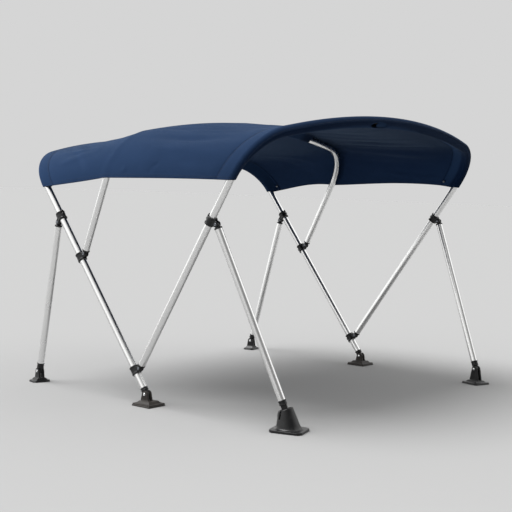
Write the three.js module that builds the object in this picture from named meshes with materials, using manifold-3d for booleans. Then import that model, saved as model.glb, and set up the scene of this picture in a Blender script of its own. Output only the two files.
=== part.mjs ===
// A three-bow bimini top: one navy canopy sheet stretched over three tubular bows, with an end pocket
// sewn round each outer bow, a short sleeve on the middle bow, four braces, jaw slides, eye ends and
// six feet. Millimetres, +Z up. X runs along the canopy, Y across it, and the feet stand on Z = 0.
// The side nearer to the viewer has negative Y and is called near; the other side is called far.
import * as THREE from 'three';
import { mergeVertices } from 'three/addons/utils/BufferGeometryUtils.js';
import Module from 'manifold-3d';

const wasm = await Module();
wasm.setup();

// Driving dimensions of the frame
const TUBE_RADIUS = 10.5;
const TUBE_SIDES = 12;
const PIECE_GAP = 0.3;
const CENTRE_X = 15.3;          // shifts the whole part so that its box is centred on X = 0
const PIN_RADIUS = 3;
const SIDES = { near: -1, far: 1 };

// Feet: x along the canopy, y half spacing across it, pin height over the surface, and how far the
// middle of the pad lies to the right of the pin
const FEET = {
  left: { x: { near: -499, far: -506 }, y: 545, pin: { near: 34, far: 34 }, shift: { near: 0, far: 0 } },
  main: { x: { near: 0, far: 0 }, y: 565, pin: { near: 33, far: 33 }, shift: { near: 8, far: 0 } },
  right: { x: { near: 489, far: 490 }, y: 537, pin: { near: 55, far: 50 }, shift: { near: 12, far: 0 } },
};

// Bows: hem is where the tube leaves the cloth, start is the straight length above the hem,
// corner is the radius of the shoulder, and slope is the crown's slope where the shoulder ends
const BOWS = {
  main: { hem: { x: -453, y: 569, z: 627.5 }, start: 8, corner: 124, slope: 16.1 },
  middle: { hem: { x: -171, y: 584, z: 662 }, start: 8, corner: 132, slope: 12.2 },
  end: { hem: { x: 335, y: 613, z: 666.5 }, start: 5, corner: 154, slope: 14.2 },
};

// Jaw slides: along is the distance from the lower end of the tube that carries the slide, and drop is
// how far the pin lies below the slide's middle
const JAW_REACH = 22;
const JAWS = {
  left_brace: { along: 634, drop: 8 },
  middle_bow: { along: 481, drop: 2 },
  end_bow: { along: 80, drop: 5 },
  right_brace: { along: 535, drop: -3 },
};

// Canopy cloth
const CLOTH = { thickness: 1.6, lining: 1.2, bowGap: 0.8, layerGap: 0.6 };
const CLOTH_OFFSET = TUBE_RADIUS + CLOTH.bowGap + CLOTH.thickness / 2;
const LINING_OFFSET = TUBE_RADIUS + CLOTH.bowGap + CLOTH.lining / 2;
// From the bow's axis to the seam, at the near hem and from the crown to the far hem
const POCKET_WIDTH = { left: { near: 38, far: 38 }, right: { near: 38, far: 56 } };
const RIM_ANGLE = 100;                          // how far the canopy wraps each outer bow, in degrees
const SLEEVE = { halfLength: 325, flange: 24, seam: 8 };
// Oval opening in the right pocket, which shows the end bow's coupling; y is its place along the bow,
// right and down its middle from the bow's axis
const OPENING = { y: -97, halfLength: 42, halfWidth: 10, depth: 24, right: 4, down: 14, turn: 30,
  sides: 24 };
// Studs of the pockets, near the hem, at a share of the way from the tube to the seam
const SNAP = { station: 3, share: 0.7, radius: 5.5, edge: 0.8, dome: 1.4, domeRadius: 3.5, sides: 14,
  gap: 0.4 };

const radians = (degrees) => degrees * Math.PI / 180;
const V = (x, y, z) => new THREE.Vector3(x, y, z);
const mix = (a, b, t) => a + (b - a) * t;

// Materials
const material = (color, roughness, metalness = 0) =>
  new THREE.MeshStandardMaterial({ color, roughness, metalness });
const navyCloth = material(0x33466b, 0.85);
const liningCloth = material(0x24344f, 0.9);
const aluminium = material(0xd6d8da, 0.3, 1);
const blackPlastic = material(0x242627, 0.55);
const stainless = material(0xb9bcbe, 0.3, 1);

const group = new THREE.Group();
function addMesh(name, geometry, finish, matrix) {
  const mesh = new THREE.Mesh(geometry, finish);
  mesh.name = name;
  if (matrix) mesh.applyMatrix4(matrix);
  mesh.position.x += CENTRE_X;
  group.add(mesh);
  return mesh;
}

// Solids for cutting and joining
function toSolid(geometry, matrix) {
  const bare = geometry.clone();
  bare.deleteAttribute('normal');
  bare.deleteAttribute('uv');
  if (matrix) bare.applyMatrix4(matrix);
  const merged = mergeVertices(bare, 1e-4);
  return new wasm.Manifold(new wasm.Mesh({
    numProp: 3,
    vertProperties: new Float32Array(merged.attributes.position.array),
    triVerts: new Uint32Array(merged.index.array),
  }));
}
function toGeometry(solid) {
  const mesh = solid.getMesh();
  const geometry = new THREE.BufferGeometry();
  geometry.setAttribute('position', new THREE.BufferAttribute(new Float32Array(mesh.vertProperties), 3));
  geometry.setIndex(new THREE.BufferAttribute(new Uint32Array(mesh.triVerts), 1));
  return geometry;
}
const moved = (x, y, z) => new THREE.Matrix4().makeTranslation(x, y, z);
// A cylinder along Y, with flats that clear its stated radius when it is a bore
function rod(radius, length, sides) {
  return new THREE.CylinderGeometry(radius, radius, length, sides);
}
const boreRadius = (radius, sides) => (radius + PIECE_GAP) / Math.cos(Math.PI / sides);

// Paths of the tubes
// A bow is planar: a leg rises from each lower end to the shoulder, and a shallow arc joins the two.
// Its parameter counts stations, so that tube and cloth share the same facets.
const STATIONS = { leg: 2, above: 1, shoulder: 7, crown: 18 };
const STATION_TOTAL = 2 * (STATIONS.leg + STATIONS.above + STATIONS.shoulder) + STATIONS.crown;
class BowCurve extends THREE.Curve {
  constructor(lowerEnd, bow) {
    super();
    this.end = lowerEnd;
    this.rise = V(bow.hem.x - lowerEnd.x, 0, bow.hem.z - lowerEnd.z);
    this.hemHeight = this.rise.length();
    this.rise.normalize();
    this.lean = Math.atan2(bow.hem.y - Math.abs(lowerEnd.y), this.hemHeight);
    this.corner = bow.corner;
    this.slope = radians(bow.slope);
    this.startHeight = this.hemHeight + bow.start;
    const startY = -Math.abs(lowerEnd.y) - this.startHeight * Math.tan(this.lean);
    this.centreY = startY + this.corner * Math.cos(this.lean);
    this.centreHeight = this.startHeight + this.corner * Math.sin(this.lean);
    this.crownY = this.centreY - this.corner * Math.sin(this.slope);
    this.crownRadius = -this.crownY / Math.sin(this.slope);
    this.crownBase = this.centreHeight + this.corner * Math.cos(this.slope);
  }

  // Position across and up the bow's plane at a station of its near half
  inPlane(station) {
    const legY = (height) => -Math.abs(this.end.y) - height * Math.tan(this.lean);
    if (station <= STATIONS.leg) {
      const height = this.hemHeight * station / STATIONS.leg;
      return [legY(height), height];
    }
    const aboveHem = station - STATIONS.leg;
    if (aboveHem <= STATIONS.above) {
      const height = mix(this.hemHeight, this.startHeight, aboveHem / STATIONS.above);
      return [legY(height), height];
    }
    const turned = aboveHem - STATIONS.above;
    if (turned <= STATIONS.shoulder) {
      const angle = mix(Math.PI + this.lean, Math.PI / 2 + this.slope, turned / STATIONS.shoulder);
      const height = this.centreHeight + this.corner * Math.sin(angle);
      return [this.centreY + this.corner * Math.cos(angle), height];
    }
    const angle = this.slope * (1 - 2 * (turned - STATIONS.shoulder) / STATIONS.crown);
    const drop = this.crownRadius * (Math.cos(angle) - Math.cos(this.slope));
    return [-this.crownRadius * Math.sin(angle), this.crownBase + drop];
  }

  getPoint(t, target = new THREE.Vector3()) {
    const station = t * STATION_TOTAL;
    const mirrored = station > STATION_TOTAL / 2;
    const [y, height] = this.inPlane(mirrored ? STATION_TOTAL - station : station);
    const x = this.end.x + this.rise.x * height;
    const z = this.end.z + this.rise.z * height;
    return target.set(x, mirrored ? -y : y, z);
  }

  getUtoTmapping(u) {
    return u;
  }

  atStation(station) {
    return this.getPoint(station / STATION_TOTAL);
  }

  // Direction along the tube, from the near foot to the far foot
  along(station) {
    const step = 0.5;
    const low = this.atStation(Math.max(0, station - step));
    const high = this.atStation(Math.min(STATION_TOTAL, station + step));
    return high.sub(low).normalize();
  }
}
const HEM_STATION = STATIONS.leg;
const LAST_HEM_STATION = STATION_TOTAL - STATIONS.leg;

// The pin of a jaw slide: it lies off the carrying tube, in the plane of that tube and of what it holds
function jawFrame(lower, upper, along, target, reach, drop) {
  const tube = upper.clone().sub(lower).normalize();
  const middle = lower.clone().addScaledVector(tube, along);
  const towards = target.clone().sub(middle);
  const out = towards.addScaledVector(tube, -towards.dot(tube)).normalize();
  const across = new THREE.Vector3().crossVectors(tube, out);
  const pin = middle.clone().addScaledVector(out, reach).addScaledVector(tube, -drop);
  return { middle, tube, out, across, pin };
}
const footPin = (foot, side) => V(foot.x[side], SIDES[side] * foot.y, foot.pin[side]);
const hemPoint = (bow, side) => V(bow.hem.x, SIDES[side] * bow.hem.y, bow.hem.z);

// Every pin, jaw and leg of one side of the frame
function sideLayout(side) {
  const mainFoot = footPin(FEET.main, side);
  const mainHem = hemPoint(BOWS.main, side);
  const jaw = (name, lower, upper, target) =>
    jawFrame(lower, upper, JAWS[name].along, target, JAW_REACH, JAWS[name].drop);
  const endHem = hemPoint(BOWS.end, side);
  const endBow = jaw('end_bow', mainFoot, mainHem, endHem);
  return {
    mainFoot,
    left_brace: jaw('left_brace', mainFoot, mainHem, footPin(FEET.left, side)),
    middle_bow: jaw('middle_bow', mainFoot, mainHem, hemPoint(BOWS.middle, side)),
    end_bow: endBow,
    right_brace: jaw('right_brace', endBow.pin, endHem, footPin(FEET.right, side)),
  };
}
const LAYOUT = { near: sideLayout('near'), far: sideLayout('far') };
const CURVES = {
  main: new BowCurve(LAYOUT.near.mainFoot, BOWS.main),
  middle: new BowCurve(LAYOUT.near.middle_bow.pin, BOWS.middle),
  end: new BowCurve(LAYOUT.near.end_bow.pin, BOWS.end),
};

// A run of a bow's curve between two of its stations, with every whole station between them
class BowRun extends THREE.Curve {
  constructor(curve, from, to) {
    super();
    this.curve = curve;
    this.stations = [from];
    for (let station = Math.floor(from) + 1; station < to; station += 1) this.stations.push(station);
    this.stations.push(to);
  }

  get steps() {
    return this.stations.length - 1;
  }

  getPoint(t, target = new THREE.Vector3()) {
    const place = Math.min(t, 1) * this.steps;
    const index = Math.min(Math.floor(place), this.steps - 1);
    const station = mix(this.stations[index], this.stations[index + 1], place - index);
    return target.copy(this.curve.atStation(station));
  }

  getUtoTmapping(u) {
    return u;
  }
}
const tubeSection = new THREE.Shape(Array.from({ length: TUBE_SIDES }, (_, i) => {
  const angle = 2 * Math.PI * i / TUBE_SIDES;
  return new THREE.Vector2(TUBE_RADIUS * Math.cos(angle), TUBE_RADIUS * Math.sin(angle));
}));
function bentTube(curve, from, to) {
  const path = new BowRun(curve, from, to);
  return new THREE.ExtrudeGeometry(tubeSection, { extrudePath: path, steps: path.steps });
}
function straightTube(from, to) {
  return new THREE.ExtrudeGeometry(tubeSection, { extrudePath: new THREE.LineCurve3(from, to), steps: 1 });
}

// Frame: the tubes start a little way from their pins, where the eye ends take over
const TUBE_START = {
  jaw: 14,
  left: { near: 28, far: 26 },
  main: { near: 21, far: 21 },
  right: { near: 30, far: 28 },
};
const COUPLING = { y: OPENING.y, half: 40 };
// Station of a leg's point at a distance from the bow's lower end, and of a crown's point at a place
// across the canopy
function stationAtDistance(curve, distance) {
  return STATIONS.leg * distance * Math.cos(curve.lean) / curve.hemHeight;
}
function stationAtY(curve, y) {
  const angle = Math.asin(-y / curve.crownRadius);
  const before = STATIONS.leg + STATIONS.above + STATIONS.shoulder;
  return before + STATIONS.crown * (1 - angle / curve.slope) / 2;
}
function addBows() {
  const mainStart = stationAtDistance(CURVES.main, TUBE_START.main.near);
  addMesh('bow_main', bentTube(CURVES.main, mainStart, STATION_TOTAL - mainStart), aluminium);
  const middleStart = stationAtDistance(CURVES.middle, TUBE_START.jaw);
  addMesh('bow_middle', bentTube(CURVES.middle, middleStart, STATION_TOTAL - middleStart), aluminium);
  const endStart = stationAtDistance(CURVES.end, TUBE_START.jaw);
  const [nearCut, nearEnd, farEnd, farCut] = [-COUPLING.half - PIECE_GAP, -COUPLING.half, COUPLING.half,
    COUPLING.half + PIECE_GAP].map((offset) => stationAtY(CURVES.end, COUPLING.y + offset));
  addMesh('bow_end_near', bentTube(CURVES.end, endStart, nearCut), aluminium);
  addMesh('bow_end_far', bentTube(CURVES.end, farCut, STATION_TOTAL - endStart), aluminium);
  addMesh('bow_end_coupling', bentTube(CURVES.end, nearEnd, farEnd), blackPlastic);
}

// Places local axes: along is the local Z, across is the local Y
function frameMatrix(origin, along, across) {
  const side = new THREE.Vector3().crossVectors(across, along);
  return new THREE.Matrix4().makeBasis(side, across, along).setPosition(origin);
}
const uprightRod = (radius, length, sides) => rod(radius, length, sides).rotateX(Math.PI / 2);
// An outline in the local XZ plane, given a thickness centred on local Y
function plate(points, thickness) {
  const shape = new THREE.Shape(points.map(([x, z]) => new THREE.Vector2(x, z)));
  const geometry = new THREE.ExtrudeGeometry(shape, { depth: thickness, bevelEnabled: false });
  return geometry.translate(0, 0, -thickness / 2).rotateX(Math.PI / 2);
}

// Eye end: a collar that plugs the tube and a flat tongue with the pin's hole
const TONGUE = { thickness: 6, jaw: 7, foot: 8.5 };
const COLLAR = { radius: 11.6, sides: 14 };
const BORE_SIDES = 8;
function eyeEnd(tubeStart, collarStart, bend) {
  const length = tubeStart - PIECE_GAP - collarStart;
  const top = collarStart + length / 2;
  const strap = plate([[-bend, 0], [bend, 0], [bend, top], [-bend, top]], TONGUE.thickness);
  return toGeometry(toSolid(uprightRod(COLLAR.radius, length, COLLAR.sides), moved(0, 0, top))
    .add(toSolid(strap))
    .add(toSolid(rod(bend, TONGUE.thickness, COLLAR.sides)))
    .subtract(toSolid(rod(boreRadius(PIN_RADIUS, BORE_SIDES), 2 * TONGUE.thickness, BORE_SIDES))));
}

// Pin with a low head at each end, along local Y
const PIN_HEAD = { radius: 4.6, height: 1.8 };
function headedPin(grip) {
  const half = grip / 2 + PIECE_GAP;
  const profile = [[0, -half - PIN_HEAD.height], [PIN_HEAD.radius, -half - PIN_HEAD.height],
    [PIN_HEAD.radius, -half], [PIN_RADIUS, -half], [PIN_RADIUS, half], [PIN_HEAD.radius, half],
    [PIN_HEAD.radius, half + PIN_HEAD.height], [0, half + PIN_HEAD.height]];
  return new THREE.LatheGeometry(profile.map(([r, y]) => new THREE.Vector2(r, y)), BORE_SIDES);
}

// Jaw slide: a sleeve round the tube and two ears that hold the pin
const JAW = { radius: 14.6, half: 12.5, ear: 8.5, earRoot: 10, width: 15, slot: 7, slotFrom: 13.6,
  sides: 14 };
function jawSlide(drop) {
  const pinAt = moved(JAW_REACH, 0, -drop);
  const block = plate([[0, -JAW.earRoot], [JAW_REACH, -drop - JAW.ear], [JAW_REACH, JAW.ear - drop],
    [0, JAW.earRoot]], JAW.width);
  const depth = 2 * JAW_REACH;
  const slot = new THREE.BoxGeometry(depth, JAW.slot, 3 * JAW.half);
  return toGeometry(toSolid(uprightRod(JAW.radius, 2 * JAW.half, JAW.sides))
    .add(toSolid(block))
    .add(toSolid(rod(JAW.ear, JAW.width, JAW.sides), pinAt))
    .subtract(toSolid(uprightRod(boreRadius(TUBE_RADIUS, JAW.sides), 3 * JAW.half, JAW.sides)))
    .subtract(toSolid(slot, moved(JAW.slotFrom + depth / 2, 0, 0)))
    .subtract(toSolid(rod(boreRadius(PIN_RADIUS, BORE_SIDES), 2 * JAW.width, BORE_SIDES), pinAt)));
}
const COLLAR_START = { jaw: 9, foot: 11.5, bell: 17 };
function addJaws(side) {
  const footOf = { left_brace: FEET.left, right_brace: FEET.right };
  const bowOf = { middle_bow: BOWS.middle, end_bow: BOWS.end };
  for (const name of Object.keys(JAWS)) {
    const jaw = LAYOUT[side][name];
    addMesh(`jaw_${name}_${side}`, jawSlide(JAWS[name].drop), blackPlastic,
      frameMatrix(jaw.middle, jaw.tube, jaw.across));
    addMesh(`jaw_pin_${name}_${side}`, headedPin(JAW.width), stainless,
      frameMatrix(jaw.pin, jaw.tube, jaw.across));
    const end = footOf[name] ? footPin(footOf[name], side) : hemPoint(bowOf[name], side);
    const held = end.sub(jaw.pin).normalize();
    addMesh(`jaw_eye_${name}_${side}`, eyeEnd(TUBE_START.jaw, COLLAR_START.jaw, TONGUE.jaw), blackPlastic,
      frameMatrix(jaw.pin, held, jaw.across));
  }
}
function addBraces(side) {
  const rows = [
    { name: 'left', jaw: LAYOUT[side].left_brace, foot: FEET.left },
    { name: 'right', jaw: LAYOUT[side].right_brace, foot: FEET.right },
  ];
  for (const { name, jaw, foot } of rows) {
    const pin = footPin(foot, side);
    const up = jaw.pin.clone().sub(pin).normalize();
    const low = pin.clone().addScaledVector(up, TUBE_START[name][side]);
    const high = jaw.pin.clone().addScaledVector(up, -TUBE_START.jaw);
    addMesh(`brace_${name}_${side}`, straightTube(low, high), aluminium);
  }
}

// Feet: a flat pad, a low pyramid and two lobes that hold the pin
const FORK = { lobe: 11, width: 21, slot: 8 };
const PADS = {
  left: { length: 46, width: 62, corner: 14, edge: 6, top: 13, topHalf: 14, root: 15 },
  main: { length: 71, width: 71, corner: 4, edge: 8, top: 15, topHalf: 20, root: 17 },
  right: { length: 72, width: 70, corner: 10, edge: 6, top: 12, topHalf: 18, root: 21 },
};
function roundedSlab(length, width, corner, height) {
  const x = length / 2 - corner;
  const y = width / 2 - corner;
  const shape = new THREE.Shape();
  shape.absarc(x, y, corner, 0, Math.PI / 2);
  shape.absarc(-x, y, corner, Math.PI / 2, Math.PI);
  shape.absarc(-x, -y, corner, Math.PI, 3 * Math.PI / 2);
  shape.absarc(x, -y, corner, 3 * Math.PI / 2, 2 * Math.PI);
  return new THREE.ExtrudeGeometry(shape, { depth: height, bevelEnabled: false, curveSegments: 3 });
}
function pyramid(length, width, topHalf, height) {
  const geometry = new THREE.CylinderGeometry(Math.SQRT2 * topHalf, Math.SQRT2 * topHalf, height, 4);
  geometry.rotateY(Math.PI / 4).rotateX(Math.PI / 2).translate(0, 0, height / 2);
  const place = geometry.attributes.position;
  for (let i = 0; i < place.count; i += 1) {
    if (place.getZ(i) > 0) continue;
    place.setX(i, Math.sign(place.getX(i)) * length / 2);
    place.setY(i, Math.sign(place.getY(i)) * width / 2);
  }
  return geometry;
}
const PYRAMID_MARGIN = 1;
function forkBase(pad, pinHeight, shift) {
  const inset = 2 * (pad.corner * (1 - Math.SQRT1_2) + PYRAMID_MARGIN);
  const slopes = pyramid(pad.length - inset, pad.width - inset, pad.topHalf, pad.top);
  const padAt = moved(shift, 0, 0);
  const lobes = plate([[-pad.root, pad.edge], [pad.root, pad.edge], [FORK.lobe, pinHeight],
    [-FORK.lobe, pinHeight]], FORK.width);
  const pinAt = moved(0, 0, pinHeight);
  const slotDepth = 2 * pinHeight;
  const slot = new THREE.BoxGeometry(2 * pad.length, FORK.slot, slotDepth);
  return toGeometry(toSolid(roundedSlab(pad.length, pad.width, pad.corner, pad.edge), padAt)
    .add(toSolid(lobes))
    .add(toSolid(rod(FORK.lobe, FORK.width, JAW.sides), pinAt))
    .subtract(toSolid(slot, moved(0, 0, pad.top + slotDepth / 2)))
    .add(toSolid(slopes, padAt))
    .subtract(toSolid(rod(boreRadius(PIN_RADIUS, BORE_SIDES), 2 * FORK.width, BORE_SIDES), pinAt)));
}

// The near foot at the right end is a tall bell that leans with its brace. Its mouth is cut square to
// the brace, mouth high over the pin's axis, and a slot through it and down the side that the brace
// leans to holds the tongue
const BELL = { top: 68, mouth: 60, mouthTurn: 20, topRadius: 18, baseRadius: 36, length: 94, width: 85,
  corner: 16, edge: 7, flareTop: 14, flareHalf: 17, slot: 8, slotFloor: 35, slotEnd: 13, sides: 20 };
function bellBase(pinHeight, shift) {
  const wall = BELL.top - BELL.edge / 2;
  const lean = new THREE.Matrix4().makeShear(0, 0, 0, 0, -shift / BELL.top, 0);
  const cone = new THREE.CylinderGeometry(BELL.topRadius, BELL.baseRadius, wall, BELL.sides)
    .rotateX(Math.PI / 2).translate(0, 0, BELL.edge / 2 + wall / 2).applyMatrix4(lean);
  const flare = pyramid(BELL.length - BELL.corner, BELL.width - BELL.corner, BELL.flareHalf, BELL.flareTop);
  const padAt = moved(shift, 0, 0);
  const slotLength = 2 * BELL.length;
  const slot = new THREE.BoxGeometry(slotLength, BELL.slot, 2 * BELL.top);
  const above = new THREE.BoxGeometry(BELL.length, BELL.width, BELL.top).translate(0, 0, BELL.top / 2)
    .rotateY(-radians(BELL.mouthTurn)).translate(0, 0, BELL.mouth);
  const bore = rod(boreRadius(PIN_RADIUS, BORE_SIDES), 2 * BELL.width, BORE_SIDES);
  return toGeometry(toSolid(roundedSlab(BELL.length, BELL.width, BELL.corner, BELL.edge), padAt)
    .add(toSolid(flare, padAt))
    .add(toSolid(cone, padAt))
    .subtract(toSolid(above))
    .subtract(toSolid(slot, moved(BELL.slotEnd - slotLength / 2, 0, BELL.slotFloor + BELL.top)))
    .subtract(toSolid(bore, moved(0, 0, pinHeight))));
}
const BELL_PIN_LENGTH = 44;
function addFeet(side) {
  const topOf = {
    left: LAYOUT[side].left_brace.pin,
    main: hemPoint(BOWS.main, side),
    right: LAYOUT[side].right_brace.pin,
  };
  for (const [name, foot] of Object.entries(FEET)) {
    const pin = footPin(foot, side);
    const up = topOf[name].clone().sub(pin).normalize();
    const across = V(-up.y, up.x, 0).normalize();
    if (across.y < 0) across.negate();
    const bell = name === 'right' && side === 'near';
    const start = bell ? COLLAR_START.bell : COLLAR_START.foot;
    addMesh(`foot_eye_${name}_${side}`, eyeEnd(TUBE_START[name][side], start, TONGUE.foot), blackPlastic,
      frameMatrix(pin, up, across));
    const base = bell ? bellBase(foot.pin[side], foot.shift[side])
      : forkBase(PADS[name], foot.pin[side], foot.shift[side]);
    const standing = frameMatrix(V(pin.x, pin.y, 0), V(0, 0, 1), across);
    addMesh(`foot_base_${name}_${side}`, base, blackPlastic, standing);
    const shaft = bell ? rod(PIN_RADIUS, BELL_PIN_LENGTH, BORE_SIDES) : headedPin(FORK.width);
    addMesh(`foot_pin_${name}_${side}`, shaft, stainless, frameMatrix(pin, up, across));
  }
}

// Cloth. Each row of the canopy runs from rim to rim at one station of the bows. Its column counts
// 0 to 1 round the main bow, 1 to 2 over the left bay, 2 to 3 over the right bay and 3 to 4 round the
// end bow. Each bay sags most a little to the right of its middle; skew says how far.
const BAYS = {
  left: { from: 'main', to: 'middle', column: 1, sag: 19, skew: 1.5, hemLift: { near: -1, far: 11 } },
  right: { from: 'middle', to: 'end', column: 2, sag: 24, skew: 1.4, hemLift: { near: 2, far: 14 } },
};
const SIDE_SAG = 3;
function rowFrames(station) {
  const at = {};
  for (const [name, curve] of Object.entries(CURVES)) {
    at[name] = { point: curve.atStation(station), along: curve.along(station) };
  }
  const left = at.middle.point.clone().sub(at.main.point).normalize();
  const right = at.end.point.clone().sub(at.middle.point).normalize();
  const both = left.clone().add(right).normalize();
  for (const [name, row] of [['main', left], ['middle', both], ['end', right]]) {
    const frame = at[name];
    frame.up = new THREE.Vector3().crossVectors(row, frame.along).normalize();
    const square = row.clone().addScaledVector(frame.along, -row.dot(frame.along)).length();
    frame.row = row.clone().divideScalar(square);
  }
  return at;
}
const ringPoint = (frame, radius, angle, outward) => frame.point.clone()
  .addScaledVector(frame.up, radius * Math.cos(angle))
  .addScaledVector(frame.row, outward * radius * Math.sin(angle));
// How far up the arch a station is: 0 at the hems, 1 at the crown
function crownShare(station) {
  const from = Math.abs(station - STATION_TOTAL / 2) / (STATION_TOTAL / 2 - HEM_STATION);
  return Math.cos(Math.PI / 2 * from) ** 2;
}
// 1 at the hem, 0 from the shoulder's start upwards
function sideShare(station) {
  const fromHem = Math.min(station - HEM_STATION, LAST_HEM_STATION - station);
  return Math.max(0, 1 - fromHem / (STATIONS.above + STATIONS.shoulder / 2));
}
function clothPoint(station, column) {
  const at = rowFrames(station);
  const rim = radians(RIM_ANGLE);
  if (column <= 1) return ringPoint(at.main, CLOTH_OFFSET, rim * (1 - column), -1);
  if (column >= 3) return ringPoint(at.end, CLOTH_OFFSET, rim * (column - 3), 1);
  const bay = column <= 2 ? BAYS.left : BAYS.right;
  const start = at[bay.from];
  const end = at[bay.to];
  const share = column - bay.column;
  const skewed = share ** bay.skew;
  const bulge = 4 * skewed * (1 - skewed);
  const up = start.up.clone().lerp(end.up, share).normalize();
  const climb = start.along.clone().lerp(end.along, share).normalize();
  const isNear = station < STATION_TOTAL / 2;
  const lift = isNear ? bay.hemLift.near : -bay.hemLift.far;
  return ringPoint(start, CLOTH_OFFSET, 0, 1).lerp(ringPoint(end, CLOTH_OFFSET, 0, 1), share)
    .addScaledVector(up, -bulge * (bay.sag * crownShare(station) + SIDE_SAG * sideShare(station)))
    .addScaledVector(climb, lift * bulge * sideShare(station) ** 2);
}
function clothNormal(station, column) {
  const step = 0.02;
  const low = Math.max(0, column - step);
  const high = Math.min(4, column + step);
  const alongRow = clothPoint(station, high).sub(clothPoint(station, low));
  const before = Math.max(HEM_STATION, station - step);
  const after = Math.min(LAST_HEM_STATION, station + step);
  const alongBow = clothPoint(after, column).sub(clothPoint(before, column));
  return alongRow.cross(alongBow).normalize();
}

// A thin solid from a grid of middle points and their normals
function sheetSolid(grid, thickness) {
  const rows = grid.length;
  const columns = grid[0].length;
  const points = [];
  for (const half of [thickness / 2, -thickness / 2]) {
    for (const row of grid) {
      for (const { point, normal } of row) points.push(point.clone().addScaledVector(normal, half));
    }
  }
  const index = [];
  const outer = (r, c) => r * columns + c;
  const inner = (r, c) => rows * columns + r * columns + c;
  const quad = (a, b, c, d) => index.push(a, b, c, a, c, d);
  for (let r = 0; r < rows - 1; r += 1) {
    for (let c = 0; c < columns - 1; c += 1) {
      quad(outer(r, c), outer(r, c + 1), outer(r + 1, c + 1), outer(r + 1, c));
      quad(inner(r, c), inner(r + 1, c), inner(r + 1, c + 1), inner(r, c + 1));
    }
    quad(outer(r, 0), outer(r + 1, 0), inner(r + 1, 0), inner(r, 0));
    quad(outer(r, columns - 1), inner(r, columns - 1), inner(r + 1, columns - 1), outer(r + 1, columns - 1));
  }
  for (let c = 0; c < columns - 1; c += 1) {
    quad(outer(0, c), inner(0, c), inner(0, c + 1), outer(0, c + 1));
    quad(outer(rows - 1, c), outer(rows - 1, c + 1), inner(rows - 1, c + 1), inner(rows - 1, c));
  }
  const geometry = new THREE.BufferGeometry();
  const places = new Float32Array(points.flatMap((p) => p.toArray()));
  geometry.setAttribute('position', new THREE.BufferAttribute(places, 3));
  geometry.setIndex(index);
  return geometry;
}
const evenly = (from, to, steps) => Array.from({ length: steps + 1 }, (_, i) => mix(from, to, i / steps));
const COLUMN_STEPS = { wrap: 5, left: 6, right: 9 };
const COLUMNS = [
  ...evenly(0, 1, COLUMN_STEPS.wrap),
  ...evenly(1, 2, COLUMN_STEPS.left).slice(1),
  ...evenly(2, 3, COLUMN_STEPS.right).slice(1),
  ...evenly(3, 4, COLUMN_STEPS.wrap).slice(1),
];
const CLOTH_STATIONS = evenly(HEM_STATION, LAST_HEM_STATION, LAST_HEM_STATION - HEM_STATION);
function canopySheet() {
  const grid = CLOTH_STATIONS.map((station) => COLUMNS.map((column) => ({
    point: clothPoint(station, column), normal: clothNormal(station, column),
  })));
  return sheetSolid(grid, CLOTH.thickness);
}

// A point of a lining that lies against the canopy's inner face
const UNDER = CLOTH.thickness / 2 + CLOTH.layerGap + CLOTH.lining / 2;
function underCloth(station, column) {
  const next = COLUMNS.findIndex((edge) => edge >= column);
  const share = (column - COLUMNS[next - 1]) / (COLUMNS[next] - COLUMNS[next - 1]);
  const [before, after] = [next - 1, next].map((i) => {
    const normal = clothNormal(station, COLUMNS[i]);
    return { point: clothPoint(station, COLUMNS[i]).addScaledVector(normal, -UNDER), normal };
  });
  const normal = before.normal.lerp(after.normal, share).normalize();
  return { point: before.point.lerp(after.point, share), normal, column };
}
// The column at a square distance from a bow's axis
function columnAt(station, bow, distance) {
  const at = rowFrames(station);
  const bays = { main: ['main', 'middle', 1, 1], end: ['middle', 'end', 3, -1],
    before: ['main', 'middle', 2, -1], after: ['middle', 'end', 2, 1] };
  const [from, to, edge, way] = bays[bow];
  const length = at[from].point.distanceTo(at[to].point);
  const frame = at[edge === 2 ? 'middle' : bow];
  return edge + way * distance * frame.row.length() / length;
}
// Normals of a lining row, from its own points and the bow's direction
function withNormals(points, along) {
  return points.map((point, i) => {
    const before = points[Math.max(0, i - 1)];
    const after = points[Math.min(points.length - 1, i + 1)];
    return { point, normal: after.clone().sub(before).cross(along).normalize() };
  });
}
const LINING_STEPS = { wrap: 5, flat: 2, stations: 14 };
const RIM_CLEAR = 9;             // degrees between the rim of the canopy and the edge of the pocket
const SLACK = { low: 2, crown: 8 };    // how far the pockets hang below their tubes
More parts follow.
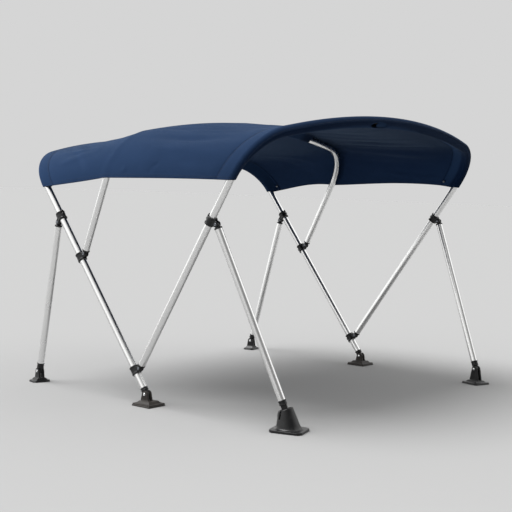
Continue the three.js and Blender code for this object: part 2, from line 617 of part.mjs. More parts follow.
// The angle round a bow at which a taut lining leaves the tube for a seam on the inner side
function leaveAngle(frame, seam) {
  const offset = seam.clone().sub(frame.point);
  const high = offset.dot(frame.up);
  const level = Math.sqrt(offset.lengthSq() - high ** 2 - offset.dot(frame.along) ** 2);
  const turn = Math.acos(LINING_OFFSET / Math.hypot(level, high));
  return 3 * Math.PI / 2 + Math.atan2(high, level) - turn;
}
const widthAt = (width, station) =>
  mix(width.near, width.far, Math.min(1, (station - HEM_STATION) / (STATION_TOTAL / 2 - HEM_STATION)));
function pocketRow(station, bow, width) {
  const outward = bow === 'main' ? -1 : 1;
  const frame = rowFrames(station)[bow];
  const sewn = underCloth(station, columnAt(station, bow, widthAt(width, station)));
  const seam = sewn.point;
  const wrap = evenly(radians(RIM_ANGLE + RIM_CLEAR), leaveAngle(frame, seam), LINING_STEPS.wrap)
    .map((angle) => ringPoint(frame, LINING_OFFSET, angle, outward));
  const last = wrap[wrap.length - 1];
  const flat = evenly(0, 1, LINING_STEPS.flat).slice(1).map((share) => last.clone().lerp(seam, share));
  const row = [...wrap, ...flat];
  const slack = mix(SLACK.low, SLACK.low + SLACK.crown, crownShare(station));
  row.forEach((point, i) => {
    point.addScaledVector(frame.up, -slack * Math.sin(Math.PI * i / (row.length - 1)));
  });
  sewn.normal.multiplyScalar(-outward);
  return [...withNormals(row, frame.along).slice(0, -1), sewn];
}
const pocketLining = (bow, width) =>
  sheetSolid(CLOTH_STATIONS.map((station) => pocketRow(station, bow, width)), CLOTH.lining);
// The right pocket has an oval opening on its lower side
function pocketWithOpening() {
  const station = stationAtY(CURVES.end, OPENING.y);
  const frame = rowFrames(station).end;
  const row = new THREE.Vector3().crossVectors(frame.along, frame.up);
  const tilt = radians(OPENING.turn);
  const cut = row.clone().multiplyScalar(Math.sin(tilt)).addScaledVector(frame.up, -Math.cos(tilt));
  const middle = frame.point.clone().addScaledVector(row, OPENING.right)
    .addScaledVector(frame.up, -OPENING.down);
  const oval = new THREE.CylinderGeometry(1, 1, OPENING.depth, OPENING.sides)
    .scale(OPENING.halfLength, 1, OPENING.halfWidth);
  const side = new THREE.Vector3().crossVectors(frame.along, cut);
  const place = new THREE.Matrix4().makeBasis(frame.along, cut, side).setPosition(middle);
  return toGeometry(toSolid(pocketLining('end', POCKET_WIDTH.right)).subtract(toSolid(oval, place)));
}
// A stud at the foot of a pocket's seam, on the facet between two stations
function addSnap(name, bow, width, side) {
  const first = side === 'near' ? SNAP.station : STATION_TOTAL - SNAP.station;
  const [low, high] = [first, first - SIDES[side]].map((station) => {
    const [tubeward, seam] = pocketRow(station, bow, width).slice(-2);
    return { from: tubeward.point, to: seam.point, outward: clothNormal(station, seam.column) };
  });
  const [lowPlace, highPlace] = [low, high].map(({ from, to }) => from.clone().lerp(to, SNAP.share));
  const point = lowPlace.lerp(highPlace, 0.5);
  const normal = low.to.clone().sub(low.from).cross(high.to.clone().sub(low.to)).normalize();
  if (normal.dot(low.outward) > 0) normal.negate();
  const base = CLOTH.lining / 2 + SNAP.gap;
  const profile = [[0, base], [SNAP.radius, base], [SNAP.radius, base + SNAP.edge],
    [SNAP.domeRadius, base + SNAP.edge + SNAP.dome], [0, base + SNAP.edge + SNAP.dome]];
  const stud = new THREE.LatheGeometry(profile.map(([r, y]) => new THREE.Vector2(r, y)), SNAP.sides);
  const turn = new THREE.Quaternion().setFromUnitVectors(V(0, 1, 0), normal);
  addMesh(name, stud, stainless, new THREE.Matrix4().makeRotationFromQuaternion(turn).setPosition(point));
}
// The middle bow's sleeve hangs from a seam on each side of the tube and wraps it from below
function sleeveRow(station) {
  const frame = rowFrames(station).middle;
  const side = (bay, way) => {
    const edge = underCloth(station, columnAt(station, bay, SLEEVE.flange + SLEEVE.seam)).point;
    const seam = underCloth(station, columnAt(station, bay, SLEEVE.flange)).point;
    return { edge, seam, leave: leaveAngle(frame, seam), way };
  };
  const left = side('before', -1);
  const right = side('after', 1);
  const wrap = evenly(left.leave, 2 * Math.PI - right.leave, LINING_STEPS.wrap)
    .map((angle) => ringPoint(frame, LINING_OFFSET, angle, 1));
  return withNormals([left.edge, left.seam, ...wrap, right.seam, right.edge], frame.along);
}
function middleSleeve() {
  const end = stationAtY(CURVES.middle, -SLEEVE.halfLength);
  const stations = evenly(end, STATION_TOTAL - end, LINING_STEPS.stations);
  return sheetSolid(stations.map(sleeveRow), CLOTH.lining);
}

addBows();
for (const side of Object.keys(SIDES)) {
  addJaws(side);
  addBraces(side);
  addFeet(side);
}
addMesh('canopy', canopySheet(), navyCloth);
addMesh('pocket_left', pocketLining('main', POCKET_WIDTH.left), liningCloth);
addMesh('pocket_right', pocketWithOpening(), liningCloth);
addMesh('middle_sleeve', middleSleeve(), liningCloth);
for (const side of Object.keys(SIDES)) {
  addSnap(`snap_left_${side}`, 'main', POCKET_WIDTH.left, side);
  addSnap(`snap_right_${side}`, 'end', POCKET_WIDTH.right, side);
}
export default group;
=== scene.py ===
"""Looks of a three-bow bimini top: a navy cloth stretched over bent aluminium tubes.

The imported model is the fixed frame. Every piece here is made in metres in that same frame, from the
sizes that shape the solids, and stands where its solid stands.
"""

import logging
import math
from dataclasses import dataclass, field
from enum import Enum
from typing import Callable, Optional, Sequence

import bmesh
import bpy
import numpy as np
from bpy.types import Material, Object
from mathutils import Matrix, Vector
from mathutils.bvhtree import BVHTree


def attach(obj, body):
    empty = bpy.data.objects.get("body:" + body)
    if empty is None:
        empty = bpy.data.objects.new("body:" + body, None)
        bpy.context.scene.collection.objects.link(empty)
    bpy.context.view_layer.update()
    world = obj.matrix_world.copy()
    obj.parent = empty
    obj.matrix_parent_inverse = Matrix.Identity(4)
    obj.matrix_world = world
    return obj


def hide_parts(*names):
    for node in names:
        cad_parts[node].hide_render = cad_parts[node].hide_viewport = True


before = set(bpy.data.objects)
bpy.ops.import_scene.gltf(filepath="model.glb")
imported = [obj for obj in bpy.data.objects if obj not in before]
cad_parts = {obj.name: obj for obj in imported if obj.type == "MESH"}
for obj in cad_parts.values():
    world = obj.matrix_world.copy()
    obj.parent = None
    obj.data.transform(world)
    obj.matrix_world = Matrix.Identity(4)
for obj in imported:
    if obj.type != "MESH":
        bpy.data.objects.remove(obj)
LOG = logging.getLogger("bimini_top")
Array = np.ndarray
MM = 0.001
BODY = "root"


# Maths on points


def unit(vectors: Array) -> Array:
    """Vectors scaled to length one along their last axis."""
    return vectors / np.linalg.norm(vectors, axis=-1, keepdims=True)


def smooth_step(values: Array, low: float, high: float) -> Array:
    """0 below low, 1 above high and a soft ramp between them."""
    share = np.clip((values - low) / (high - low), 0, 1)
    return share * share * (3 - 2 * share)


def placed(origin: Array, along: Array, across: Array) -> Matrix:
    """A placement whose local Z is along and whose local Y is across.

    Args:
        origin: The local origin, in metres.
        along: Direction of the local Z axis.
        across: Direction of the local Y axis.

    Returns:
        The 4x4 matrix from local millimetres to the frame's metres.
    """
    side = np.cross(across, along)
    basis = Matrix(np.column_stack([side, across, along]).tolist()).to_4x4()
    return Matrix.Translation(Vector(origin)) @ basis @ Matrix.Scale(MM, 4)


# The frame's layout, as the solids have it


class Side(Enum):
    """The two sides of the frame, with the sign of their Y."""

    NEAR = -1
    FAR = 1

    @property
    def label(self) -> str:
        """The side's name in the names of pieces and nodes."""
        return self.name.lower()


class Bow(Enum):
    """The three bows, from left to right."""

    MAIN = "main"
    MIDDLE = "middle"
    END = "end"


CENTRE_X = 15.3 * MM
TUBE_RADIUS = 10.5 * MM
PIN_RADIUS = 3 * MM
ROUND_SIDES = 20


@dataclass(frozen=True)
class FootPlace:
    """Where a foot stands: its pin's place near and far, and how far the pad lies to the pin's right."""

    x_near: float
    x_far: float
    y: float
    pin_near: float
    pin_far: float
    shift_near: float = 0.0
    shift_far: float = 0.0

    def pin(self, side: Side) -> Array:
        """The pin's middle on that side, in metres."""
        x, height = (self.x_near, self.pin_near) if side is Side.NEAR else (self.x_far, self.pin_far)
        return np.array([x * MM + CENTRE_X, side.value * self.y * MM, height * MM])

    def shift(self, side: Side) -> float:
        """The pad's shift on that side, in millimetres."""
        return self.shift_near if side is Side.NEAR else self.shift_far


FEET = {
    "left": FootPlace(x_near=-499, x_far=-506, y=545, pin_near=34, pin_far=34),
    "main": FootPlace(x_near=0, x_far=0, y=565, pin_near=33, pin_far=33, shift_near=8),
    "right": FootPlace(x_near=489, x_far=490, y=537, pin_near=55, pin_far=50, shift_near=12),
}


@dataclass(frozen=True)
class BowSizes:
    """Where a bow leaves the cloth, its straight start above that, its shoulder and its crown's slope."""

    x: float
    y: float
    z: float
    start: float
    corner: float
    slope: float

    def hem(self, side: Side) -> Array:
        """The point where the tube leaves the cloth on that side, in metres."""
        return np.array([self.x * MM + CENTRE_X, side.value * self.y * MM, self.z * MM])


BOWS = {
    Bow.MAIN: BowSizes(x=-453, y=569, z=627.5, start=8, corner=124, slope=16.1),
    Bow.MIDDLE: BowSizes(x=-171, y=584, z=662, start=8, corner=132, slope=12.2),
    Bow.END: BowSizes(x=335, y=613, z=666.5, start=5, corner=154, slope=14.2),
}
LEG, ABOVE, SHOULDER, CROWN = 2, 1, 7, 18
LAST = 2 * (LEG + ABOVE + SHOULDER) + CROWN
TOP = LAST / 2
HEM, LAST_HEM = LEG, LAST - LEG
JAW_REACH = 22
COUPLING_Y = -97
TUBE_START = {
    "jaw": {Side.NEAR: 14, Side.FAR: 14},
    "left": {Side.NEAR: 28, Side.FAR: 26},
    "main": {Side.NEAR: 21, Side.FAR: 21},
    "right": {Side.NEAR: 30, Side.FAR: 28},
}


class BowCurve:
    """The centre line of a bow, which counts stations from its near lower end to its far one."""

    def __init__(self, lower: Array, sizes: BowSizes) -> None:
        """Works out the arcs of the bow from its near lower end and its sizes.

        Args:
            lower: The near lower end, in metres.
            sizes: The bow's sizes.
        """
        rise = sizes.hem(Side.NEAR) - lower
        rise[1] = 0
        self.lower = lower
        self.hem_height = float(np.linalg.norm(rise))
        self.rise = rise / self.hem_height
        self.half = abs(float(lower[1]))
        self.lean = math.atan2(sizes.y * MM - self.half, self.hem_height)
        self.corner = sizes.corner * MM
        self.slope = math.radians(sizes.slope)
        self.start_height = self.hem_height + sizes.start * MM
        start_y = -self.half - self.start_height * math.tan(self.lean)
        self.centre_y = start_y + self.corner * math.cos(self.lean)
        self.centre_height = self.start_height + self.corner * math.sin(self.lean)
        crown_y = self.centre_y - self.corner * math.sin(self.slope)
        self.crown_radius = -crown_y / math.sin(self.slope)
        self.crown_base = self.centre_height + self.corner * math.cos(self.slope)

    def in_plane(self, station: float) -> tuple[float, float]:
        """Place across and up the bow's plane at a station of its near half.

        Args:
            station: A station of the near half.

        Returns:
            Metres across the canopy and up the plane from the lower end.
        """
        if station <= LEG + ABOVE:
            height = self.hem_height * station / LEG
            if station > LEG:
                height = self.hem_height + (self.start_height - self.hem_height) * (station - LEG) / ABOVE
            return -self.half - height * math.tan(self.lean), height
        turned = station - LEG - ABOVE
        if turned <= SHOULDER:
            first, last = math.pi + self.lean, math.pi / 2 + self.slope
            angle = first + (last - first) * turned / SHOULDER
            height = self.centre_height + self.corner * math.sin(angle)
            return self.centre_y + self.corner * math.cos(angle), height
        angle = self.slope * (1 - 2 * (turned - SHOULDER) / CROWN)
        drop = self.crown_radius * (math.cos(angle) - math.cos(self.slope))
        return -self.crown_radius * math.sin(angle), self.crown_base + drop

    def at(self, station: float) -> Array:
        """The point at a station, in metres.

        Args:
            station: Any station, also between two.

        Returns:
            The point.
        """
        mirrored = station > TOP
        y, height = self.in_plane(LAST - station if mirrored else station)
        x, z = (self.lower[i] + self.rise[i] * height for i in (0, 2))
        return np.array([x, -y if mirrored else y, z])

    def along(self, station: float) -> Array:
        """The tube's direction at a station, from the near foot to the far one."""
        return unit(self.at(min(LAST, station + 0.5)) - self.at(max(0, station - 0.5)))

    def station_at_distance(self, distance: float) -> float:
        """The station of the near leg's point at a distance from its lower end."""
        return LEG * distance * math.cos(self.lean) / self.hem_height

    def station_at_y(self, y: float) -> float:
        """The station of the crown's point at a place across the canopy."""
        angle = math.asin(-y / self.crown_radius)
        return LEG + ABOVE + SHOULDER + CROWN * (1 - angle / self.slope) / 2


@dataclass(frozen=True)
class JawPlace:
    """A jaw slide's place: the tube that carries it and the pin beside that tube."""

    middle: Array
    tube: Array
    across: Array
    pin: Array
    held: Array
    drop: float


JAWS = {"left_brace": (634, 8), "middle_bow": (481, 2), "end_bow": (80, 5), "right_brace": (535, -3)}


class Layout:
    """Every pin, jaw and curve of the frame."""

    def __init__(self) -> None:
        """Lays out both sides, then the three curves."""
        self.jaws = {side: self._side(side) for side in Side}
        near = self.jaws[Side.NEAR]
        self.curves = {
            Bow.MAIN: BowCurve(FEET["main"].pin(Side.NEAR), BOWS[Bow.MAIN]),
            Bow.MIDDLE: BowCurve(near["middle_bow"].pin, BOWS[Bow.MIDDLE]),
            Bow.END: BowCurve(near["end_bow"].pin, BOWS[Bow.END]),
        }

    @staticmethod
    def _jaw(name: str, lower: Array, upper: Array, target: Array) -> JawPlace:
        """A jaw slide on the tube from lower to upper, which holds a tube that goes to target.

        Args:
            name: The slide's name.
            lower: Lower end of the tube that carries it.
            upper: Upper end of that tube.
            target: Where the tube that it holds goes.

        Returns:
            The slide's place.
        """
        along, drop = JAWS[name]
        tube = unit(upper - lower)
        middle = lower + tube * along * MM
        towards = target - middle
        out = unit(towards - tube * float(towards @ tube))
        pin = middle + out * JAW_REACH * MM - tube * drop * MM
        return JawPlace(middle, tube, np.cross(tube, out), pin, unit(target - pin), drop)

    def _side(self, side: Side) -> dict[str, JawPlace]:
        """The four jaw slides of one side.

        Args:
            side: The side.

        Returns:
            The slides, by name.
        """
        foot, hem, end_hem = FEET["main"].pin(side), BOWS[Bow.MAIN].hem(side), BOWS[Bow.END].hem(side)
        targets = (FEET["left"].pin(side), BOWS[Bow.MIDDLE].hem(side), end_hem)
        jaws = {name: self._jaw(name, foot, hem, target) for name, target in zip(JAWS, targets)}
        foot = jaws["end_bow"].pin
        jaws["right_brace"] = self._jaw("right_brace", foot, end_hem, FEET["right"].pin(side))
        return jaws

    def foot_up(self, name: str, side: Side) -> Array:
        """The direction of the tube that stands on a foot.

        Args:
            name: The foot's name.
            side: Its side.

        Returns:
            The direction, of length one.
        """
        tops = {
            "left": self.jaws[side]["left_brace"].pin,
            "main": BOWS[Bow.MAIN].hem(side),
            "right": self.jaws[side]["right_brace"].pin,
        }
        return unit(tops[name] - FEET[name].pin(side))

    def foot_across(self, name: str, side: Side) -> Array:
        """The level direction of a foot's pin, pointing to the far side.

        Args:
            name: The foot's name.
            side: Its side.

        Returns:
            The direction, of length one.
        """
        up = self.foot_up(name, side)
        across = unit(np.array([-up[1], up[0], 0.0]))
        return across if across[1] > 0 else -across


# The cloth's surface


@dataclass(frozen=True)
class Bay:
    """A stretch of cloth between two bows: its sag, where it sags most, and how its hems run."""

    first: Bow
    last: Bow
    column: int
    sag: float
    skew: float
    lift_near: float
    lift_far: float


BAYS = (
    Bay(Bow.MAIN, Bow.MIDDLE, column=1, sag=19, skew=1.5, lift_near=-1, lift_far=11),
    Bay(Bow.MIDDLE, Bow.END, column=2, sag=24, skew=1.4, lift_near=2, lift_far=14),
)
SIDE_SAG = 3
NORMAL_STEP = 0.02


@dataclass(frozen=True)
class PocketWidth:
    """How far a pocket's seam lies from its bow, at the near hem and from the crown to the far hem."""

    near: float
    far: float

    def at(self, stations: Array) -> Array:
        """The width at some stations, in metres, as n by 1."""
        share = np.clip((np.asarray(stations, float) - HEM) / (TOP - HEM), 0, 1)
        return (self.near + (self.far - self.near) * share[:, None]) * MM


POCKET_WIDTHS = {Bow.MAIN: PocketWidth(38, 38), Bow.END: PocketWidth(38, 56)}
UNDER = 1.35 * MM
RIM_ANGLE = math.radians(100)
CLOTH_OFFSET = 12.1 * MM


@dataclass(frozen=True)
class Fold:
    """A soft crease in the cloth, from one point to another.

    x runs along the canopy and s is the way down from its crown, negative to the near side, both in
    millimetres. A negative depth is a trough.
    """

    x0: float
    s0: float
    x1: float
    s1: float
    depth: float
    width: float


FOLDS = tuple(
    Fold(*row)
    for row in (
        (-170, -322, 345, -345, 3.6, 10), (-160, -362, 340, -382, -5.0, 10),
        (-150, -402, 335, -420, 5.0, 10), (-130, -440, 335, -452, -5.2, 9),
        (-170, -484, 330, -496, 4.6, 12), (-90, -536, 345, -552, -6.4, 17), (0, -590, 300, -598, 2.6, 16),
        (-160, -262, 340, -290, -2.2, 15), (-150, -205, 330, -228, 2.0, 17),
        (-130, -150, 335, -172, -2.2, 19), (-150, -95, 320, -108, 1.9, 19),
        (-140, -32, 335, -40, -2.2, 21), (-150, 48, 330, 40, 2.2, 22), (-140, 140, 335, 150, -3.0, 22),
        (-150, 240, 330, 262, 3.4, 19), (-145, 330, 335, 368, -4.0, 16), (-430, -548, -250, -562, 3.0, 9),
        (-430, -455, -215, -600, -3.6, 14), (-430, -420, -205, -520, 3.0, 14),
        (-425, -500, -260, -650, -2.8, 12), (-420, -375, -210, -430, -2.4, 15),
        (-400, -610, -220, -560, 2.8, 15), (-420, 440, -205, 590, -2.6, 16),
        (-420, 500, -240, 640, 2.4, 14), (-430, -240, -200, -215, -2.0, 20),
        (-430, -90, -200, -75, 1.9, 22), (-430, 120, -200, 110, -2.0, 22), (-430, 290, -210, 262, 1.9, 20),
        (20, -668, 60, -625, -1.3, 8), (-100, -668, -70, -635, 1.2, 8), (120, -620, 280, -642, -1.2, 12),
        (-110, 515, 310, 555, -5.0, 18), (-60, 400, 300, 440, 4.4, 16), (-40, 590, 290, 606, 4.0, 14),
        (30, 630, 160, 636, -3.4, 7), (150, 646, 280, 642, -2.6, 8), (-90, 470, 300, 492, 3.2, 10),
    )
)
# How a fold wanders and swells: each wave's size, its turns along the fold and its shift from fold to fold
FOLD_WANDER = ((3.6, 4.1, 1.7), (1.2, 11, 2.9))
FOLD_UNEVEN = (0.35, 7.3, 2.1)
# No fold lies nearer to a bow than the first, and each is whole from the second, in millimetres
BOW_CLEAR = (13, 52)
BOW_TROUGH_AT, BOW_TROUGH_WIDE = 25, 13
# Depth and width of the broad and the narrow trough along a pocket's seam
SEAM_TROUGHS = ((1.7, 15), (0.6, 1.4))


class ClothShape:
    """The canopy's middle surface. Rows follow the bows' stations and columns run from rim to rim."""

    def __init__(self, layout: Layout) -> None:
        """Keeps the curves and measures the arc of the middle bow.

        Args:
            layout: The frame that carries the cloth.
        """
        self.curves = layout.curves
        stations = np.linspace(HEM, LAST_HEM, 400)
        points = np.array([self.curves[Bow.MIDDLE].at(s) for s in stations])
        arc = np.concatenate([[0], np.cumsum(np.linalg.norm(np.diff(points, axis=0), axis=1))])
        self.arc_stations, self.arc = stations, arc - arc[-1] / 2

    def rows(self, stations: Array) -> dict[Bow, dict[str, Array]]:
        """Each bow's point, along, up and row directions at the stations, as arrays of n by 1 by 3.

        Args:
            stations: n stations.

        Returns:
            The four arrays of each bow, by name.
        """
        at = {}
        for bow, curve in self.curves.items():
            at[bow] = {
                "point": np.array([curve.at(s) for s in stations])[:, None],
                "along": np.array([curve.along(s) for s in stations])[:, None],
            }
        left = unit(at[Bow.MIDDLE]["point"] - at[Bow.MAIN]["point"])
        right = unit(at[Bow.END]["point"] - at[Bow.MIDDLE]["point"])
        for bow, row in ((Bow.MAIN, left), (Bow.MIDDLE, unit(left + right)), (Bow.END, right)):
            frame_at = at[bow]
            frame_at["up"] = unit(np.cross(row, frame_at["along"]))
            flat = row - frame_at["along"] * np.sum(row * frame_at["along"], axis=-1, keepdims=True)
            frame_at["row"] = row / np.linalg.norm(flat, axis=-1, keepdims=True)
        return at

    @staticmethod
    def ring(frame_at: dict[str, Array], radius: float, angle: Array, outward: int) -> Array:
        """Points round a tube at an angle from its top."""
        up = frame_at["up"] * (radius * np.cos(angle))[..., None]
        return frame_at["point"] + up + frame_at["row"] * (outward * radius * np.sin(angle))[..., None]

    @staticmethod
    def crown_share(stations: Array) -> Array:
        """How far up the arch a station is: 0 at the hems, 1 at the crown."""
        return np.cos(np.pi / 2 * np.abs(stations - TOP) / (TOP - HEM)) ** 2

    @staticmethod
    def side_share(stations: Array) -> Array:
        """1 at the hem and 0 from the shoulder upwards."""
        from_hem = np.minimum(stations - HEM, LAST_HEM - stations)
        return np.maximum(0, 1 - from_hem / (ABOVE + SHOULDER / 2))

    def base(self, stations: Array, columns: Array) -> Array:
        """The taut surface, before its folds.

        Args:
            stations: n stations.
            columns: m columns, or n by m of them.

        Returns:
            The points as an array of n by m by 3.
        """
        stations = np.clip(stations, HEM, LAST_HEM)
        columns = np.clip(np.broadcast_to(columns, (len(stations), np.shape(columns)[-1])), 0, 4)
        at = self.rows(stations)
        crown, side = self.crown_share(stations)[:, None], self.side_share(stations)[:, None]
        near = (stations < TOP)[:, None]
        result = np.empty(columns.shape + (3,))
        for bay in BAYS:
            first, last = at[bay.first], at[bay.last]
            share = np.clip(columns - bay.column, 0, 1)
            skewed = share**bay.skew
            bulge = 4 * skewed * (1 - skewed)
            mix = share[..., None]
            up = unit(first["up"] * (1 - mix) + last["up"] * mix)
            climb = unit(first["along"] * (1 - mix) + last["along"] * mix)
            lift = np.where(near, bay.lift_near, -bay.lift_far)
            start = first["point"] + first["up"] * CLOTH_OFFSET
            end = last["point"] + last["up"] * CLOTH_OFFSET
            point = start * (1 - mix) + end * mix
            point = point - up * (bulge * (bay.sag * crown + SIDE_SAG * side) * MM)[..., None]
            point = point + climb * (lift * bulge * side**2 * MM)[..., None]
            chosen = (columns >= bay.column) & (columns <= bay.column + 1)
            result[chosen] = point[chosen]
        for bow, angle, outward, chosen in (
            (Bow.MAIN, RIM_ANGLE * (1 - columns), -1, columns <= 1),
            (Bow.END, RIM_ANGLE * (columns - 3), 1, columns >= 3),
        ):
            point = self.ring(at[bow], CLOTH_OFFSET, angle, outward)
            result[chosen] = point[chosen]
        return result

    def normals(self, stations: Array, columns: Array) -> Array:
        """Outward normals of the taut surface, as n by m by 3.

        Args:
            stations: n stations.
            columns: m columns, or n by m of them.

        Returns:
            The directions, of length one.
        """
        row, bow = (
            self.base(stations + along, columns + across) - self.base(stations - along, columns - across)
            for along, across in ((0, NORMAL_STEP), (NORMAL_STEP, 0))
        )
        return unit(np.cross(row, bow))

    def fold_height(self, points: Array, stations: Array, columns: Array) -> Array:
        """How far the folds lift the cloth at points of the taut surface, in metres.

        Args:
            points: The taut surface's points, as n by m by 3.
            stations: n stations.
            columns: m columns, or n by m of them.

        Returns:
            The heights as n by m, negative in a trough.
        """
        x = (points[..., 0] - CENTRE_X) / MM
        s = np.interp(stations, self.arc_stations, self.arc)[:, None] / MM * np.ones_like(x)
        total = np.zeros_like(x)
        for i, fold in enumerate(FOLDS):
            run = np.array([fold.x1 - fold.x0, fold.s1 - fold.s0], float)
            length = float(np.linalg.norm(run))
            run /= length
            t = ((x - fold.x0) * run[0] + (s - fold.s0) * run[1]) / length
            off = -(x - fold.x0) * run[1] + (s - fold.s0) * run[0]
            for depth, waves, shift in FOLD_WANDER:
                off = off + depth * np.sin(waves * t + shift * i)
            taper = np.sin(np.pi * np.clip(t, 0, 1)) ** 0.8
            depth, waves, shift = FOLD_UNEVEN
            uneven = 1 + depth * np.sin(waves * t + shift * i)
            total += fold.depth * uneven * taper * np.exp(-((off / fold.width) ** 2))
        from_bow = {}
        for at in (1.0, 2.0, 3.0):
            from_bow[at] = (points[..., 0] - self.base(stations, np.array([at]))[..., 0]) / MM
            total *= smooth_step(np.abs(from_bow[at]), *BOW_CLEAR)
        ridge = np.where(from_bow[2.0] < 0, 0.7, 0.5) * (1 - 0.6 * self.crown_share(stations)[:, None])
        total -= ridge * np.exp(-(((np.abs(from_bow[2.0]) - BOW_TROUGH_AT) / BOW_TROUGH_WIDE) ** 2))
        for bow in POCKET_WIDTHS:
            seam = self.base(stations, self.seam_column(stations, bow))[..., 0]
            off = (points[..., 0] - seam) / MM
            total -= sum(depth * np.exp(-((off / wide) ** 2)) for depth, wide in SEAM_TROUGHS)
        total[np.broadcast_to((columns <= 1) | (columns >= 3), total.shape)] = 0
        return total * MM

    def surface(self, stations: Array, columns: Array) -> tuple[Array, Array]:
        """The folded surface's points and its taut normals, each as n by m by 3."""
        points, normals = self.base(stations, columns), self.normals(stations, columns)
        return points + normals * self.fold_height(points, stations, columns)[..., None], normals

    def column_beside(self, stations: Array, bow: Bow, right: bool, distance: object) -> Array:
        """The column at a square distance from a bow's axis, for each station, as n by 1.

        Args:
            stations: n stations.
            bow: The bow.
            right: Whether the column lies to its right.
            distance: The distance in metres, or n by 1 of them.

        Returns:
            The columns.
        """
        at = self.rows(stations)
        ends = {Bow.MAIN: (Bow.MAIN, Bow.MIDDLE, 1), Bow.END: (Bow.MIDDLE, Bow.END, 3)}
        middle = (Bow.MIDDLE, Bow.END, 2) if right else (Bow.MAIN, Bow.MIDDLE, 2)
        first, last, edge = ends.get(bow, middle)
        length = np.linalg.norm(at[last]["point"] - at[first]["point"], axis=-1)
        square = np.linalg.norm(at[bow]["row"], axis=-1)
        return edge + (1 if right else -1) * distance * square / length

    def seam_column(self, stations: Array, bow: Bow, inset: float = 0.0) -> Array:
        """The column of a pocket's seam, or of a line that is inset towards the bow by millimetres."""
        distance = POCKET_WIDTHS[bow].at(stations) - inset * MM
        return self.column_beside(stations, bow, bow is Bow.MAIN, distance)

    def under(self, stations: Array, column: Array) -> Array:
        """Points just under the cloth, where a lining is sewn to it."""
        points, normals = self.surface(stations, column)
        return points - normals * UNDER

    def line(self, stations: Array, columns: Array, lift: float) -> tuple[Array, Array]:
        """The points and normals of a line along a row or a column, lifted off by millimetres."""
        points, normals = self.surface(stations, columns)
        return (points + normals * lift * MM).reshape(-1, 3), normals.reshape(-1, 3)

    @staticmethod
    def leave_angle(frame_at: dict[str, Array], seam: Array, radius: float) -> Array:
        """The angle round a bow at which a taut lining leaves the tube for a seam.

        Args:
            frame_at: The bow's point and directions at each station.
            seam: The seam's points.
            radius: The lining's distance from the tube's axis, in metres.

        Returns:
            The angles from the tube's top, as n by 1.
        """
        offset = seam - frame_at["point"]
        high = np.sum(offset * frame_at["up"], axis=-1)
        slid = np.sum(offset * frame_at["along"], axis=-1)
        level = np.sqrt(np.sum(offset**2, axis=-1) - high**2 - slid**2)
        return 1.5 * math.pi + np.arctan2(high, level) - np.arccos(radius / np.hypot(level, high))


# Node trees and finishes


class Nodes:
    """A node tree whose nodes all come from one method."""

    def __init__(self, tree: bpy.types.NodeTree) -> None:
        """Keeps the tree."""
        self.tree = tree

    def node(self, kind: str, settings: Optional[dict] = None, **inputs: object) -> "Shade":
        """Adds a node.

        Args:
            kind: The node's type.
            settings: Properties, which are set before the sockets.
            inputs: Values or Shades for its sockets, as feed takes them.

        Returns:
            The first of the node's outputs that is on.
        """
        node = self.tree.nodes.new(kind)
        for name, value in (settings or {}).items():
            setattr(node, name, value)
        for name, value in inputs.items():
            self.feed(node, name, value)
        return Shade(self, next(s for s in node.outputs if s.enabled))

    def feed(self, node: bpy.types.Node, name: str, value: object) -> None:
        """Sets a socket of a node, or links a Shade to it.

        Args:
            node: The node.
            name: The socket's identifier, or its name with underscores for spaces.
            value: What it gets.
        """
        labels = ((s, (s.identifier, s.name.replace(" ", "_"))) for s in node.inputs if s.enabled)
        socket = next(s for s, known in labels if name in known)
        if isinstance(value, Shade):
            self.tree.links.new(value.socket, socket)
        else:
            socket.default_value = value


class Shade:
    """A node's output, whose arithmetic adds Math nodes."""

    def __init__(self, nodes: Nodes, socket: bpy.types.NodeSocket) -> None:
        """Wraps an output socket."""
        self.nodes, self.socket = nodes, socket

    def other(self, name: str) -> "Shade":
        """Another output of the same node."""
        return Shade(self.nodes, self.socket.node.outputs[name])

    def _math(self, operation: str, *values: object) -> "Shade":
        """A Math node on values and Shades."""
        inputs = dict(zip(("Value", "Value_001"), values))
        return self.nodes.node("ShaderNodeMath", {"operation": operation}, **inputs)

    def __add__(self, other: object) -> "Shade":
        """This plus other."""
        return self._math("ADD", self, other)

    __radd__ = __add__

    def __sub__(self, other: object) -> "Shade":
        """This minus other."""
        return self._math("SUBTRACT", self, other)

    def __rsub__(self, other: object) -> "Shade":
        """Other minus this."""
        return self._math("SUBTRACT", other, self)

    def __mul__(self, other: object) -> "Shade":
        """This times other."""
        return self._math("MULTIPLY", self, other)

    __rmul__ = __mul__

    def sine(self) -> "Shade":
        """The sine of this, in radians."""
        return self._math("SINE", self)

    def above(self, edge: float) -> "Shade":
        """1 where this is above an edge, else 0."""
        return self._math("GREATER_THAN", self, edge)

    def between(self, low: float, high: float) -> "Shade":
        """A soft ramp from 0 at low to 1 at high."""
        soft = {"interpolation_type": "SMOOTHSTEP"}
        return self.nodes.node("ShaderNodeMapRange", soft, Value=self, From_Min=low, From_Max=high)


